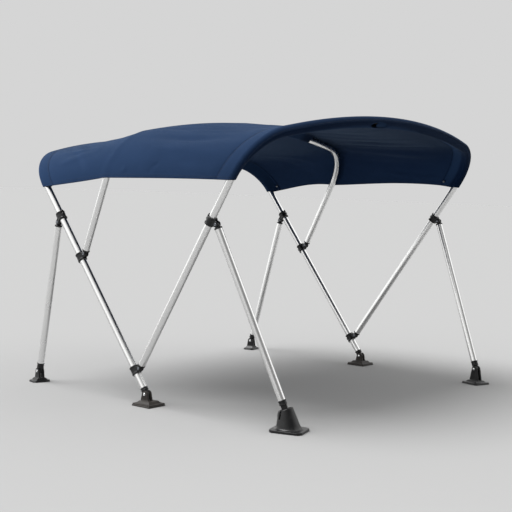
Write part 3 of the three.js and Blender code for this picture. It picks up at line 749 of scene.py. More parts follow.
class Finish(Nodes):
    """A material with a Principled shader and the nodes that feed it."""

    def __init__(self, name: str) -> None:
        """Makes the material and keeps its shader.

        Args:
            name: The material's name.
        """
        self.material = bpy.data.materials.new(name)
        self.material.use_nodes = True
        super().__init__(self.material.node_tree)
        self.shader = self.tree.nodes["Principled BSDF"]

    def place(self) -> Shade:
        """The Object coordinates."""
        return self.node("ShaderNodeTexCoord").other("Object")

    def attribute(self, name: str, output: str = "Fac") -> Shade:
        """What a piece keeps on its points under a name."""
        return self.node("ShaderNodeAttribute", {"attribute_name": name}).other(output)

    def noise(self, vector: Shade, scale: float, detail: float = 3.0, rough: float = 0.5) -> Shade:
        """Noise over a vector, from 0 to 1."""
        return self.node("ShaderNodeTexNoise", Vector=vector, Scale=scale, Detail=detail, Roughness=rough)

    def stretched(self, vector: Shade, scale: Sequence[float]) -> Shade:
        """A vector scaled along its axes."""
        return self.node("ShaderNodeMapping", Vector=vector, Scale=scale)

    def blend(self, factor: Shade, first: object, second: object) -> Shade:
        """A mix of two colours, each a tuple or a Shade."""
        return self.node("ShaderNodeMix", {"data_type": "RGBA"}, Factor=factor, A=first, B=second)

    def bump(self, height: Shade, depth: float, strength: float) -> None:
        """Feeds the shader's normal from a height, where 1 stands for depth metres."""
        self.set(Normal=self.node("ShaderNodeBump", Strength=strength, Distance=depth, Height=height))

    def set(self, **values: object) -> None:
        """Sets or links sockets of the shader."""
        for name, value in values.items():
            self.feed(self.shader, name, value)


Colour = tuple[float, float, float, float]


def colour(red: float, green: float, blue: float) -> Colour:
    """A linear colour with full alpha."""
    return (red, green, blue, 1.0)


def toned(tint: Colour, shares: Sequence[float]) -> Colour:
    """A colour with its red, green and blue each times a share."""
    return colour(*(c * share for c, share in zip(tint, shares)))


@dataclass(frozen=True)
class Canvas:
    """Woven cloth with a plain weave, slubs along its threads and a little fading, darkened by the painted
    shade that its piece keeps on its points.
    """

    name: str
    deep: Colour
    worn: Colour
    pitch: float = 0.9
    gap: float = 0.72
    slub_long: float = 60
    slub_fine: float = 1500
    sheen: float = 0.06
    # The darker, bluer navy of the painted shade, as shares of the deep colour
    coat: tuple[float, float, float] = (0.16, 0.28, 0.4)

    def material(self) -> Material:
        """Builds the material, which reads the piece's UV in metres and the painted shade on its points.

        Returns:
            The material.
        """
        f = Finish(self.name)
        uv = f.node("ShaderNodeUVMap", {"uv_map": "cloth"})
        parts = f.node("ShaderNodeSeparateXYZ", Vector=uv)
        turn = math.pi / (self.pitch * MM)
        warp, weft = ((parts.other(axis) * turn).sine() for axis in "XY")
        over = (warp * weft).above(0)
        weave = (1 - warp * warp) * over + (1 - weft * weft) * (1 - over)
        slub_x = f.noise(f.stretched(uv, (self.slub_long, self.slub_fine, 1)), 1.0, 2)
        slub_y = f.noise(f.stretched(uv, (self.slub_fine, self.slub_long, 1)), 1.0, 2)
        slub = slub_x * over + slub_y * (1 - over)
        cloud = f.noise(f.place(), 5.5, 4, 0.6)
        dust = f.noise(f.place(), 45, 5, 0.65)
        tone = (cloud.between(0.3, 0.72) * 0.45 + slub * 0.35 + dust * 0.25) - 0.12
        base = f.blend(tone, self.deep, self.worn)
        base = f.blend(weave * 0.35 + 0.65, toned(self.deep, [self.gap] * 3), base)
        # Painted shade: the colour goes towards that darker navy as far as the piece's points say
        base = f.blend(f.attribute("coated"), base, toned(self.deep, self.coat))
        f.set(Base_Color=base, Roughness=0.78 + slub * 0.14)
        f.set(Sheen_Weight=self.sheen, Sheen_Roughness=0.45, Sheen_Tint=colour(0.5, 0.72, 1.0))
        f.set(Specular_IOR_Level=0.03)
        f.bump(weave * 0.75 + slub * 0.35 + dust * 0.5, 0.22 * MM, 0.55)
        return f.material


@dataclass(frozen=True)
class PolishedTube:
    """Drawn and polished aluminium, with fine lines along the tube and faint handling marks."""

    name: str = "polished_aluminium"
    tint: Colour = colour(0.84, 0.84, 0.835)
    dull: Colour = colour(0.72, 0.72, 0.72)

    def material(self) -> Material:
        """Builds the material, which reads the ring and run attributes of a swept tube.

        Returns:
            The material.
        """
        f = Finish(self.name)
        ring = f.node("ShaderNodeSeparateXYZ", Vector=f.attribute("ring", "Vector"))
        run = f.attribute("run") * 0.03
        lines = f.node("ShaderNodeCombineXYZ", X=ring, Y=ring.other("Y"), Z=run)
        drawn = f.noise(lines, 900, 3, 0.7)
        marks = f.noise(f.place(), 22, 6, 0.7)
        smear = f.noise(f.place(), 7, 3, 0.5)
        worn = marks.between(0.5, 0.75)
        f.set(Base_Color=f.blend(smear * 0.6 + worn * 0.3, self.tint, self.dull), Metallic=1.0)
        f.set(Roughness=0.2 + drawn * 0.1 + worn * 0.07)
        f.bump(drawn + marks * 0.4, 0.02 * MM, 0.1)
        return f.material


@dataclass(frozen=True)
class MouldedPlastic:
    """Black moulded nylon, finely grained, paler and smoother where it is rubbed."""

    name: str
    black: Colour = colour(0.0045, 0.0047, 0.0052)
    rubbed: Colour = colour(0.017, 0.017, 0.018)
    gloss: float = 0.27

    def material(self) -> Material:
        """Builds the material from Object coordinates.

        Returns:
            The material.
        """
        f = Finish(self.name)
        place = f.place()
        grain = f.noise(place, 1500, 2, 0.5)
        wear = f.noise(place, 60, 5, 0.65).between(0.5, 0.72)
        dust = f.noise(place, 14, 4, 0.6)
        f.set(Base_Color=f.blend(wear * 0.5 + dust * 0.25, self.black, self.rubbed))
        f.set(Roughness=self.gloss + grain * 0.1 + wear * 0.08, Specular_IOR_Level=0.33)
        f.bump(grain + dust * 0.5, 0.05 * MM, 0.5)
        return f.material


@dataclass(frozen=True)
class BrightSteel:
    """Stainless steel of screws, pins and studs."""

    name: str
    bright: Colour = colour(0.74, 0.75, 0.76)
    rough: float = 0.17
    tarnished: float = 0.66

    def material(self) -> Material:
        """Builds the material from Object coordinates.

        Returns:
            The material.
        """
        f = Finish(self.name)
        fine = f.noise(f.stretched(f.place(), (900, 900, 120)), 1.0, 3, 0.6)
        tarnish = f.noise(f.place(), 160, 4, 0.6).between(0.5, 0.75)
        f.set(Base_Color=f.blend(tarnish, self.bright, toned(self.bright, [self.tarnished] * 3)))
        f.set(Metallic=1.0, Roughness=self.rough + fine * 0.12 + tarnish * 0.12)
        f.bump(fine, 0.02 * MM, 0.4)
        return f.material


@dataclass(frozen=True)
class Thread:
    """Twisted sewing thread."""

    name: str
    tint: Colour
    paler: float = 1.7

    def material(self) -> Material:
        """Builds the material from Object coordinates.

        Returns:
            The material.
        """
        f = Finish(self.name)
        twist = f.noise(f.place(), 1900, 2, 0.5)
        f.set(Base_Color=f.blend(twist, self.tint, toned(self.tint, [self.paler] * 3)))
        f.set(Roughness=0.6 + twist * 0.15)
        f.bump(twist, 0.06 * MM, 0.5)
        return f.material


@dataclass(frozen=True)
class StudioFloor:
    """The plain pale floor."""

    name: str = "studio_floor"
    tint: Colour = colour(0.308, 0.308, 0.308)

    def material(self) -> Material:
        """Builds the material.

        Returns:
            The material.
        """
        f = Finish(self.name)
        f.set(Base_Color=self.tint, Roughness=0.9, Specular_IOR_Level=0.0)
        return f.material


# Meshes


# How dark the painted shade along a sheet's edges is and how much thicker a folded end, with the millimetres
# over which each fades
EDGE_PAINTED_SHADE, EDGE_FADE = 0.8, (1.5, 4.5)
FOLDED_MORE, FOLDED_FADE = 0.7, (9, 12)


def put(name: str, data: bpy.types.ID, place: Optional[Matrix] = None) -> Object:
    """Adds an object to the scene.

    Args:
        name: The object's name.
        data: Its mesh, camera or light.
        place: Where it stands, where that isn't the origin.

    Returns:
        The object.
    """
    added = bpy.data.objects.new(name, data)
    if place is not None:
        added.matrix_world = place
    bpy.context.scene.collection.objects.link(added)
    return added


def new_piece(name: str, vertices: Array, faces: Sequence[Sequence[int]], material: Material) -> Object:
    """An object at the origin with a smooth mesh.

    Args:
        name: The piece's name.
        vertices: Points in metres.
        faces: Corner indices of each face.
        material: Its finish.

    Returns:
        The object, linked to the scene.
    """
    mesh = bpy.data.meshes.new(name)
    mesh.from_pydata([tuple(map(float, v)) for v in vertices], [], [tuple(map(int, f)) for f in faces])
    mesh.materials.append(material)
    mesh.shade_smooth()
    return put(name, mesh)


def face_out(piece: Object) -> None:
    """Turns a closed mesh's faces outwards.

    Args:
        piece: The object.
    """
    work = bmesh.new()
    work.from_mesh(piece.data)
    bmesh.ops.recalc_face_normals(work, faces=work.faces)
    work.to_mesh(piece.data)
    work.free()


def settle(piece: Object) -> Object:
    """Turns what the modifiers make into the piece's own plain mesh.

    Args:
        piece: An object with modifiers.

    Returns:
        The same object, without them.
    """
    bpy.context.view_layer.update()
    graph = bpy.context.evaluated_depsgraph_get()
    mesh = bpy.data.meshes.new_from_object(
        piece.evaluated_get(graph), preserve_all_data_layers=True, depsgraph=graph
    )
    piece.modifiers.clear()
    old, piece.data = piece.data, mesh
    mesh.name = piece.name
    bpy.data.meshes.remove(old)
    return piece


def finish_piece(piece: Object, slot: str, *nodes: str) -> Object:
    """Puts a piece on the body in place of its CAD nodes and reports it.

    Args:
        piece: The finished object.
        slot: The record's material slot; not used.
        nodes: The CAD nodes that it stands for.

    Returns:
        The same object.
    """
    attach(piece, BODY)
    if nodes:
        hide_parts(*nodes)
    triangles = sum(len(p.vertices) - 2 for p in piece.data.polygons)
    LOG.info("%s: %d triangles, for %d nodes", piece.name, triangles, len(nodes))
    return piece


class SheetGrid:
    """A grid of a sheet's middle points in metres, a row for each station, and what it measures."""

    def __init__(self, points: Array) -> None:
        """Measures the sheet along its surface.

        Args:
            points: n by m by 3 middle points.
        """
        self.points = points
        self.normals = unit(np.cross(np.gradient(points, axis=1), np.gradient(points, axis=0)))
        self.along, self.across = self._arc(0), self._arc(1)
        self.edge = np.minimum(self.along, self.along[[-1]] - self.along)
        self.rim = np.minimum(self.across, self.across[:, [-1]] - self.across)
        self.flat = (float(np.mean(self.across[:, -1])), float(np.mean(self.along[-1])))
        self.uv = np.stack([self.across, self.along], -1)

    def _arc(self, axis: int) -> Array:
        """Distances along one axis of the grid.

        Args:
            axis: 0 for each column, 1 for each row.

        Returns:
            The distance of each point from the start of its line.
        """
        steps = np.linalg.norm(np.diff(self.points, axis=axis), axis=-1)
        zero = np.zeros_like(np.take(steps, [0], axis=axis))
        return np.concatenate([zero, np.cumsum(steps, axis=axis)], axis=axis)

    def area(self) -> float:
        """The sheet's area, in square metres.

        Returns:
            The sum of the grid's cells.
        """
        corner = self.points[:-1, :-1]
        cells = np.cross(self.points[1:, :-1] - corner, self.points[:-1, 1:] - corner)
        return float(np.linalg.norm(cells, axis=-1).sum())

    def dark_edges(self) -> Array:
        """Painted shade at each point: a dark line painted along all the sheet's edges, from 0 to 1."""
        return EDGE_PAINTED_SHADE * (1 - smooth_step(np.minimum(self.edge, self.rim) / MM, *EDGE_FADE))

    def lining_thickness(self, plain: float) -> Array:
        """The thickness in metres of a lining with folded ends, from its plain one in millimetres."""
        return plain * (1 + FOLDED_MORE * (1 - smooth_step(self.edge / MM, *FOLDED_FADE))) * MM


def sheet_piece(
    name: str,
    grid: SheetGrid,
    thickness: object,
    material: Material,
    inner_shade: object = 0.0,
    shade: Optional[Array] = None,
) -> Object:
    """A thin closed sheet with rounded edges.

    Args:
        name: The piece's name.
        grid: Its middle points.
        thickness: Its thickness in metres, all over or at each point.
        material: Its finish.
        inner_shade: How dark the painted shade on its inner face is, from 0 to 1, all over or at each point.
        shade: How dark the painted shade at each point is, from 0 to 1, where it isn't the painted line along
            all its edges.

    Returns:
        The sheet, with a UV map named cloth and its painted shade in the attribute coated.
    """
    rows, columns = grid.points.shape[:2]
    count = rows * columns
    middle, normals = grid.points.reshape(-1, 3), grid.normals.reshape(-1, 3)
    half = (np.broadcast_to(thickness, (rows, columns)) / 2).reshape(-1, 1)
    index = np.arange(count).reshape(rows, columns)
    top = np.stack([index[:-1, :-1], index[:-1, 1:], index[1:, 1:], index[1:, :-1]], -1).reshape(-1, 4)
    border = np.concatenate([index[0, :-1], index[:-1, -1], index[-1, :0:-1], index[:0:-1, 0]])
    inside = np.concatenate([index[1, :-1], index[:-1, -2], index[-2, :0:-1], index[:0:-1, 1]])
    ahead = np.roll(border, -1)
    out = unit(np.cross(normals[border], unit(middle[ahead] - middle[np.roll(border, 1)])))
    out *= np.sign(np.sum(out * (middle[border] - middle[inside]), axis=1, keepdims=True))
    bulge = middle[border] + out * half[border] * 0.9
    ring = 2 * count + np.arange(len(border))
    following = np.roll(ring, -1)
    faces = [
        top,
        top[:, ::-1] + count,
        np.stack([border, ring, following, ahead], -1),
        np.stack([ring, border + count, ahead + count, following], -1),
    ]
    vertices = np.concatenate([middle + normals * half, middle - normals * half, bulge])
    piece = new_piece(name, vertices, np.concatenate(faces), material)
    uv = grid.uv.reshape(-1, 2)
    corners = np.empty(len(piece.data.loops), int)
    piece.data.loops.foreach_get("vertex_index", corners)
    layer = piece.data.uv_layers.new(name="cloth")
    layer.data.foreach_set("uv", np.concatenate([uv, uv, uv[border]])[corners].astype(np.float32).ravel())
    # Painted shade: the outer face and the rounded edge take shade, and the inner face the darker of shade
    # and coating
    outer = np.ravel(grid.dark_edges() if shade is None else shade)
    dark = np.concatenate([outer, np.maximum(outer, np.ravel(inner_shade)), outer[border]])
    layer = piece.data.attributes.new("coated", "FLOAT", "POINT")
    layer.data.foreach_set("value", dark.astype(np.float32))
    face_out(piece)
    return piece


def turned_piece(
    name: str, profile: Sequence[tuple[float, float]], place: Matrix, material: Material
) -> Object:
    """A closed piece turned round its local Z.

    Args:
        name: The piece's name.
        profile: Radius and height of each ring in millimetres, from axis to axis.
        place: From those millimetres to the frame's metres.
        material: Its finish.

    Returns:
        The object at the origin.
    """
    turns = ROUND_SIDES
    angles = 2 * np.pi * np.arange(turns) / turns
    vertices, rings = [], []
    for radius, height in profile:
        first = len(vertices)
        if radius == 0:
            rings.append([first] * turns)
            vertices.append((0.0, 0.0, height))
            continue
        rings.append([first + i for i in range(turns)])
        vertices += [(radius * math.cos(a), radius * math.sin(a), height) for a in angles]
    faces = [
        list(dict.fromkeys([low[i], low[(i + 1) % turns], high[(i + 1) % turns], high[i]]))
        for low, high in zip(rings, rings[1:])
        for i in range(turns)
    ]
    piece = new_piece(name, [place @ Vector(v) for v in vertices], faces, material)
    face_out(piece)
    return piece


# Geometry Nodes


class NodeShape(Nodes):
    """A geometry tree with named inputs, run on a piece and then settled into a plain mesh."""

    def __init__(self, name: str, **kinds: str) -> None:
        """Makes the tree with its geometry and finish inputs.

        Args:
            name: The tree's name.
            kinds: The further inputs, each with its kind.
        """
        super().__init__(bpy.data.node_groups.new(name, "GeometryNodeTree"))
        face, self.sockets = self.tree.interface, {}
        for label, kind in {"Geometry": "Geometry", "Finish": "Material", **kinds}.items():
            self.sockets[label] = face.new_socket(label, in_out="INPUT", socket_type=f"NodeSocket{kind}")
        face.new_socket("Geometry", in_out="OUTPUT", socket_type="NodeSocketGeometry")
        self.entry = self.tree.nodes.new("NodeGroupInput")
        self.exit = self.tree.nodes.new("NodeGroupOutput")

    def given(self, name: str) -> Shade:
        """The value of a named input."""
        return Shade(self, self.entry.outputs[name])

    def kept(self, name: str) -> Shade:
        """A vector that the points keep under a name."""
        return self.node("GeometryNodeInputNamedAttribute", {"data_type": "FLOAT_VECTOR"}, Name=name)

    def close(self, geometry: Shade) -> None:
        """Ends the tree in Realize Instances, smooth shading and Set Material.

        Args:
            geometry: What the tree makes.
        """
        real = self.node("GeometryNodeRealizeInstances", Geometry=geometry)
        smooth = self.node("GeometryNodeSetShadeSmooth", Geometry=real)
        dressed = self.node("GeometryNodeSetMaterial", Geometry=smooth, Material=self.given("Finish"))
        self.feed(self.exit, "Geometry", dressed)

    def run(self, piece: Object, **values: object) -> None:
        """Runs the tree on a piece and settles it.

        Args:
            piece: The object whose mesh the tree starts from.
            values: Values for the named inputs.
        """
        modifier = piece.modifiers.new("shape", "NODES")
        modifier.node_group = self.tree
        for name, value in values.items():
            modifier[self.sockets[name].identifier] = value
        settle(piece)


class TubeShape(NodeShape):
    """Sweeps a round section along the edges of a mesh."""

    def __init__(self) -> None:
        """Builds the tree: edges to curve, a circle for the section, and attributes for the finish."""
        super().__init__("swept_tube", Radius="Float", Sides="Int")
        path = self.node("GeometryNodeMeshToCurve", Mesh=self.given("Geometry"))
        path = self._keep(path, "run", "FLOAT", self.node("GeometryNodeSplineParameter").other("Length"))
        sides, radius = self.given("Sides"), self.given("Radius")
        sized = {"mode": "RADIUS"}
        ring = self.node("GeometryNodeCurvePrimitiveCircle", sized, Resolution=sides, Radius=radius)
        ring = self._keep(ring, "ring", "FLOAT_VECTOR", self.node("GeometryNodeInputPosition"))
        self.close(self.node("GeometryNodeCurveToMesh", Curve=path, Profile_Curve=ring, Fill_Caps=True))

    def _keep(self, geometry: Shade, name: str, kind: str, value: Shade) -> Shade:
        """Keeps a value on every point under a name."""
        inputs = {"Geometry": geometry, "Name": name, "Value": value}
        return self.node("GeometryNodeStoreNamedAttribute", {"data_type": kind, "domain": "POINT"}, **inputs)


class StitchShape(NodeShape):
    """Lays a row of stitches along the edges of a mesh, flat on the cloth."""

    def __init__(self) -> None:
        """Builds the tree: the path is cut to the stitch pitch and each point gets one stitch."""
        super().__init__("stitch_row", Pitch="Float", Length="Float", Width="Float", Seed="Int")
        path = self.node("GeometryNodeMeshToCurve", Mesh=self.given("Geometry"))
        even = {"mode": "LENGTH"}
        path = self.node("GeometryNodeResampleCurve", even, Curve=path, Length=self.given("Pitch"))
        axes = {"primary_axis": "X", "secondary_axis": "Z"}
        along = self.node("GeometryNodeInputTangent")
        facing = self.kept("facing")
        turn = self.node("FunctionNodeAxesToRotation", axes, Primary_Axis=along, Secondary_Axis=facing)
        bead = self.node("GeometryNodeMeshIcoSphere", Radius=1.0, Subdivisions=1)
        length, width = self.given("Length"), self.given("Width")
        size = self.node("ShaderNodeCombineXYZ", X=length, Y=width, Z=width)
        single, seed = {"data_type": "FLOAT"}, self.given("Seed")
        uneven = self.node("FunctionNodeRandomValue", single, Min=0.88, Max=1.08, Seed=seed)
        size = self.node("ShaderNodeVectorMath", {"operation": "SCALE"}, Vector=size, Scale=uneven)
        place = {"Points": path, "Instance": bead, "Rotation": turn, "Scale": size}
        self.close(self.node("GeometryNodeInstanceOnPoints", **place))


class FastenerShape(NodeShape):
    """Places a part on every point of a mesh, turned to the point's axis."""

    def __init__(self) -> None:
        """Builds the tree: the part comes from an object input."""
        super().__init__("fasteners", Part="Object", Scale="Float")
        turn = self.node("FunctionNodeAlignRotationToVector", {"axis": "Z"}, Vector=self.kept("axis"))
        part = self.node("GeometryNodeObjectInfo", Object=self.given("Part")).other("Geometry")
        place = {"Points": self.given("Geometry"), "Instance": part, "Rotation": turn}
        self.close(self.node("GeometryNodeInstanceOnPoints", Scale=self.given("Scale"), **place))


def wire(name: str, paths: Sequence[Sequence], label: str = "", vectors: Sequence[Sequence] = ()) -> Object:
    """An object of loose points, joined along paths.

    Args:
        name: The object's name.
        paths: The points of each path, in metres.
        label: The name under which every point keeps a vector, where it does.
        vectors: Those vectors, path by path.

    Returns:
        The object, linked to the scene.
    """
    mesh = bpy.data.meshes.new(name)
    edges, start = [], 0
    for path in paths:
        edges += [(start + i, start + i + 1) for i in range(len(path) - 1)]
        start += len(path)
    mesh.from_pydata(np.concatenate(paths).tolist(), edges, [])
    if label:
        kept = mesh.attributes.new(label, "FLOAT_VECTOR", "POINT")
        kept.data.foreach_set("vector", np.concatenate(vectors).astype(np.float32).ravel())
    return put(name, mesh)


# Moulded parts, as fields of distance whose zero surface is meshed


Field = Callable[[Array], Array]
# How a mesh is drawn onto its field: rounds, millimetres between samples, least slope and cells at once
PULLS, SLOPE_STEP, LEAST_SLOPE, LONGEST_PULL = 3, 0.05, 0.2, 0.3


def join(first: Array, second: Array, fillet: float = 0.6) -> Array:
    """Two fields joined with a fillet, in millimetres."""
    share = np.clip(0.5 + 0.5 * (second - first) / fillet, 0, 1)
    return second * (1 - share) + first * share - fillet * share * (1 - share)


def trim(first: Array, second: Array, edge: float = 0.6) -> Array:
    """The part of a field inside both, with a rounded edge."""
    return -join(-first, -second, edge)


def cut(first: Array, second: Array, edge: float = 0.6) -> Array:
    """The first field without the second, with a rounded edge."""
    return trim(first, -second, edge)


def drum(
    p: Array, axis: int, centre: Sequence[float], radius: float, half: float, edge: float = 0.8
) -> Array:
    """A cylinder along a local axis with rounded rims.

    Args:
        p: n by 3 points.
        axis: 0, 1 or 2 for X, Y or Z.
        centre: The middle.
        radius: Its radius.
        half: Half its length.
        edge: The rims' radius.

    Returns:
        The field at the points.
    """
    q = p - np.array(centre, float)
    across = [i for i in range(3) if i != axis]
    a = np.abs(q[:, axis]) - half + edge
    b = np.hypot(q[:, across[0]], q[:, across[1]]) - radius + edge
    return np.minimum(np.maximum(a, b), 0) + np.hypot(np.maximum(a, 0), np.maximum(b, 0)) - edge


def block(p: Array, centre: Sequence[float], half: Sequence[float], edge: float = 0.8) -> Array:
    """A box with rounded edges."""
    q = np.abs(p - np.array(centre, float)) - (np.array(half, float) - edge)
    return np.linalg.norm(np.maximum(q, 0), axis=1) + np.minimum(q.max(axis=1), 0) - edge


def slab(p: Array, half_x: float, half_y: float, corner: float, low: float, high: float) -> Array:
    """A level plate with rounded corners.

    Args:
        p: n by 3 points.
        half_x: Half its length.
        half_y: Half its width.
        corner: Radius of its corners in plan.
        low: Height of its underside.
        high: Height of its top.

    Returns:
        The field at the points.
    """
    q = np.abs(p[:, :2]) - np.array([half_x - corner, half_y - corner])
    plan = np.linalg.norm(np.maximum(q, 0), axis=1) + np.minimum(q.max(axis=1), 0) - corner
    return trim(plan, np.abs(p[:, 2] - (low + high) / 2) - (high - low) / 2, 1.0)


def prism(p: Array, outline: Sequence[tuple[float, float]], half: float, edge: float = 1.2) -> Array:
    """A convex outline in the local XZ plane, in turn to the left, thick along Y.

    Args:
        p: n by 3 points.
        outline: Corners, as x and z.
        half: Half its thickness.
        edge: The edges' radius.

    Returns:
        The field at the points.
    """
    value = np.abs(p[:, 1]) - half
    for (x0, z0), (x1, z1) in zip(outline, list(outline[1:]) + [outline[0]]):
        normal = np.array([z1 - z0, x0 - x1], float)
        normal /= np.linalg.norm(normal)
        value = trim(value, (p[:, 0] - x0) * normal[0] + (p[:, 2] - z0) * normal[1], edge)
    return value


def taper(
    p: Array, base: tuple[float, float, float], top: tuple[float, float, float], edge: float = 1.0
) -> Array:
    """A four-sided hopper from half sizes (x, y, z) at its base to those at its top.

    Args:
        p: n by 3 points.
        base: Half length, half width and height of its base.
        top: The same of its top.
        edge: The edges' radius.

    Returns:
        The field at the points.
    """
    value = np.maximum(base[2] - p[:, 2], p[:, 2] - top[2])
    rise = top[2] - base[2]
    for axis in (0, 1):
        slope = (base[axis] - top[axis]) / rise
        wide = np.abs(p[:, axis]) - base[axis] + slope * (p[:, 2] - base[2])
        value = trim(value, wide / math.hypot(1, slope), edge)
    return value


def mesh_of_field(value_at: Field, low: Sequence[float], high: Sequence[float], cell: float) -> tuple:
    """Meshes a field's zero surface, one corner for each cell that it crosses.

    Args:
        value_at: The field, negative inside, in millimetres.
        low: Lowest corner of the space.
        high: Highest corner of the space.
        cell: The cells' size.

    Returns:
        The corners and the four-sided faces.
    """
    low = np.array(low, float) - 1.5 * cell
    counts = np.ceil((np.array(high, float) + 1.5 * cell - low) / cell).astype(int) + 1
    axes = [low[i] + cell * np.arange(counts[i]) for i in range(3)]
    lattice = np.stack(np.meshgrid(*axes, indexing="ij"), -1)
    value = value_at(lattice.reshape(-1, 3)).reshape(counts)
    cells = tuple(counts - 1)
    total, hits = np.zeros(cells + (3,)), np.zeros(cells)
    for first in np.ndindex(2, 2, 2):
        for axis in (i for i in range(3) if not first[i]):
            second = tuple(1 if i == axis else o for i, o in enumerate(first))
            a, b = (
                value[tuple(slice(o, o + n) for o, n in zip(corner, cells))] for corner in (first, second)
            )
            crossed = (a < 0) != (b < 0)
            place = np.zeros(cells + (3,)) + first
            place[..., axis] = np.where(crossed, a / np.where(crossed, a - b, 1), 0)
            total += np.where(crossed[..., None], place, 0)
            hits += crossed
    used = hits > 0
    number = np.full(cells, -1)
    number[used] = np.arange(int(used.sum()))
    points = low + cell * (np.argwhere(used) + total[used] / hits[used][:, None])
    faces = []
    for axis in range(3):
        u, v = [i for i in range(3) if i != axis]
        inner = [slice(1, -1)] * 3
        inner[axis] = slice(0, -1)
        ahead = list(inner)
        ahead[axis] = slice(1, None)
        a, b = value[tuple(inner)] < 0, value[tuple(ahead)] < 0
        for wanted, flip in ((a & ~b, False), (~a & b, True)):
            ring = []
            for du, dv in ((0, 0), (1, 0), (1, 1), (0, 1)):
                spot = np.argwhere(wanted)
                spot[:, u] += du
                spot[:, v] += dv
                ring.append(number[tuple(spot.T)])
            quad = np.stack(ring, -1)
            faces.append(quad[:, ::-1] if flip != (axis == 1) else quad)
    for _ in range(PULLS):
        here = value_at(points)
        beside = [value_at(points + SLOPE_STEP * e) for e in np.eye(3)]
        slope = np.stack([value - here for value in beside], -1) / SLOPE_STEP
        move = -slope * (here / np.maximum(np.sum(slope**2, axis=1), LEAST_SLOPE))[:, None]
        length = np.linalg.norm(move, axis=1, keepdims=True)
        points = points + move * np.minimum(1, LONGEST_PULL * cell / np.maximum(length, 1e-9))
    return points, np.concatenate(faces)


@dataclass(frozen=True)
class Moulding:
    """A moulded part in its own millimetre axes."""

    cell: float = 1.0
    pin_bore: float = 3.25

    def field(self, p: Array) -> Array:
        """The part's field."""
        raise NotImplementedError

    def limits(self) -> tuple[Sequence[float], Sequence[float]]:
        """The lowest and highest corner of the part's space."""
        raise NotImplementedError

    def build(self, name: str, place: Matrix, material: Material) -> Object:
        """Meshes the part and puts its points in place.

        Args:
            name: The piece's name.
            place: From the part's millimetres to the frame's metres.
            material: Its finish.

        Returns:
            The object at the origin.
        """
        points, faces = mesh_of_field(self.field, *self.limits(), self.cell)
        matrix = np.array(place)
        points = points @ matrix[:3, :3].T + matrix[:3, 3]
        piece = new_piece(name, points, faces, material)
        face_out(piece)
        return piece


@dataclass(frozen=True)
class JawSlide(Moulding):
    """A sleeve round a tube, with two ears that hold a pin, collars at its ends and a clamping boss."""

    drop: float = 0.0
    radius: float = 14.6
    waist: float = 1.2
    half: float = 12.5
    collar: float = 2.4
    spur: tuple[float, float, float] = (2.4, 2.6, 3.0)
    rib_at: tuple[float, float] = (8.5, 6.8)
    rib: tuple[float, float] = (6, 0.9)
    boss: float = 5.0
    boss_half: float = 2.0
    socket: float = 2.6
    socket_half: float = 1.6
    ear: float = 8.5
    root: float = 10.0
    width: float = 15.0
    slot: float = 7.0
    slot_from: float = 13.6
    bore: float = 10.9
    cell: float = 0.95

    def field(self, p: Array) -> Array:
        """The sleeve and its ears, with the bores and the slot.

        Args:
            p: n by 3 points.

        Returns:
            The field at the points.
        """
        reach, low = JAW_REACH, -self.drop
        value = drum(p, 2, (0, 0, 0), self.radius - self.waist, self.half, 0.9)
        for end in (-1, 1):
            middle = (0, 0, end * (self.half - self.collar))
            value = join(value, drum(p, 2, middle, self.radius, self.collar, 1.0), 1.0)
        outline = [(0, -self.root), (reach, low - self.ear), (reach, low + self.ear), (0, self.root)]
        value = join(value, prism(p, outline, self.width / 2, 2.2), 3.0)
        value = join(value, drum(p, 1, (reach, 0, low), self.ear, self.width / 2, 2.0), 1.6)
        for end in (-1, 1):
            spur = block(p, (1.4 - self.radius, 0, end * (self.half - 0.6)), self.spur, 1.2)
            value = join(value, spur, 1.8)
        boss = drum(p, 0, (-self.radius + self.waist, 0, 0), self.boss, self.boss_half, 0.9)
        value = join(value, boss, 1.6)
        for way in (-1, 1):
            rib = block(p, (self.rib_at[0], way * self.rib_at[1], 0), (*self.rib, self.half - 1.5), 0.6)
            value = join(value, rib, 1.2)
        value = cut(value, drum(p, 2, (0, 0, 0), self.bore, 40, 0.1), 0.7)
        slot = block(p, (self.slot_from + 30, 0, 0), (30, self.slot / 2, 60), 0.2)
        value = cut(value, slot, 0.7)
        socket = drum(p, 0, (-self.radius - 1.4, 0, 0), self.socket, self.socket_half, 0.3)
        value = cut(value, socket, 0.4)
        return cut(value, drum(p, 1, (reach, 0, low), self.pin_bore, 30, 0.1), 0.5)

    def limits(self) -> tuple[Sequence[float], Sequence[float]]:
        """The sleeve's and the ears' space."""
        tall = max(self.half + 2.5, self.ear + abs(self.drop))
        return (-self.radius - 1.5, -self.radius, -tall), (JAW_REACH + self.ear, self.radius, tall)


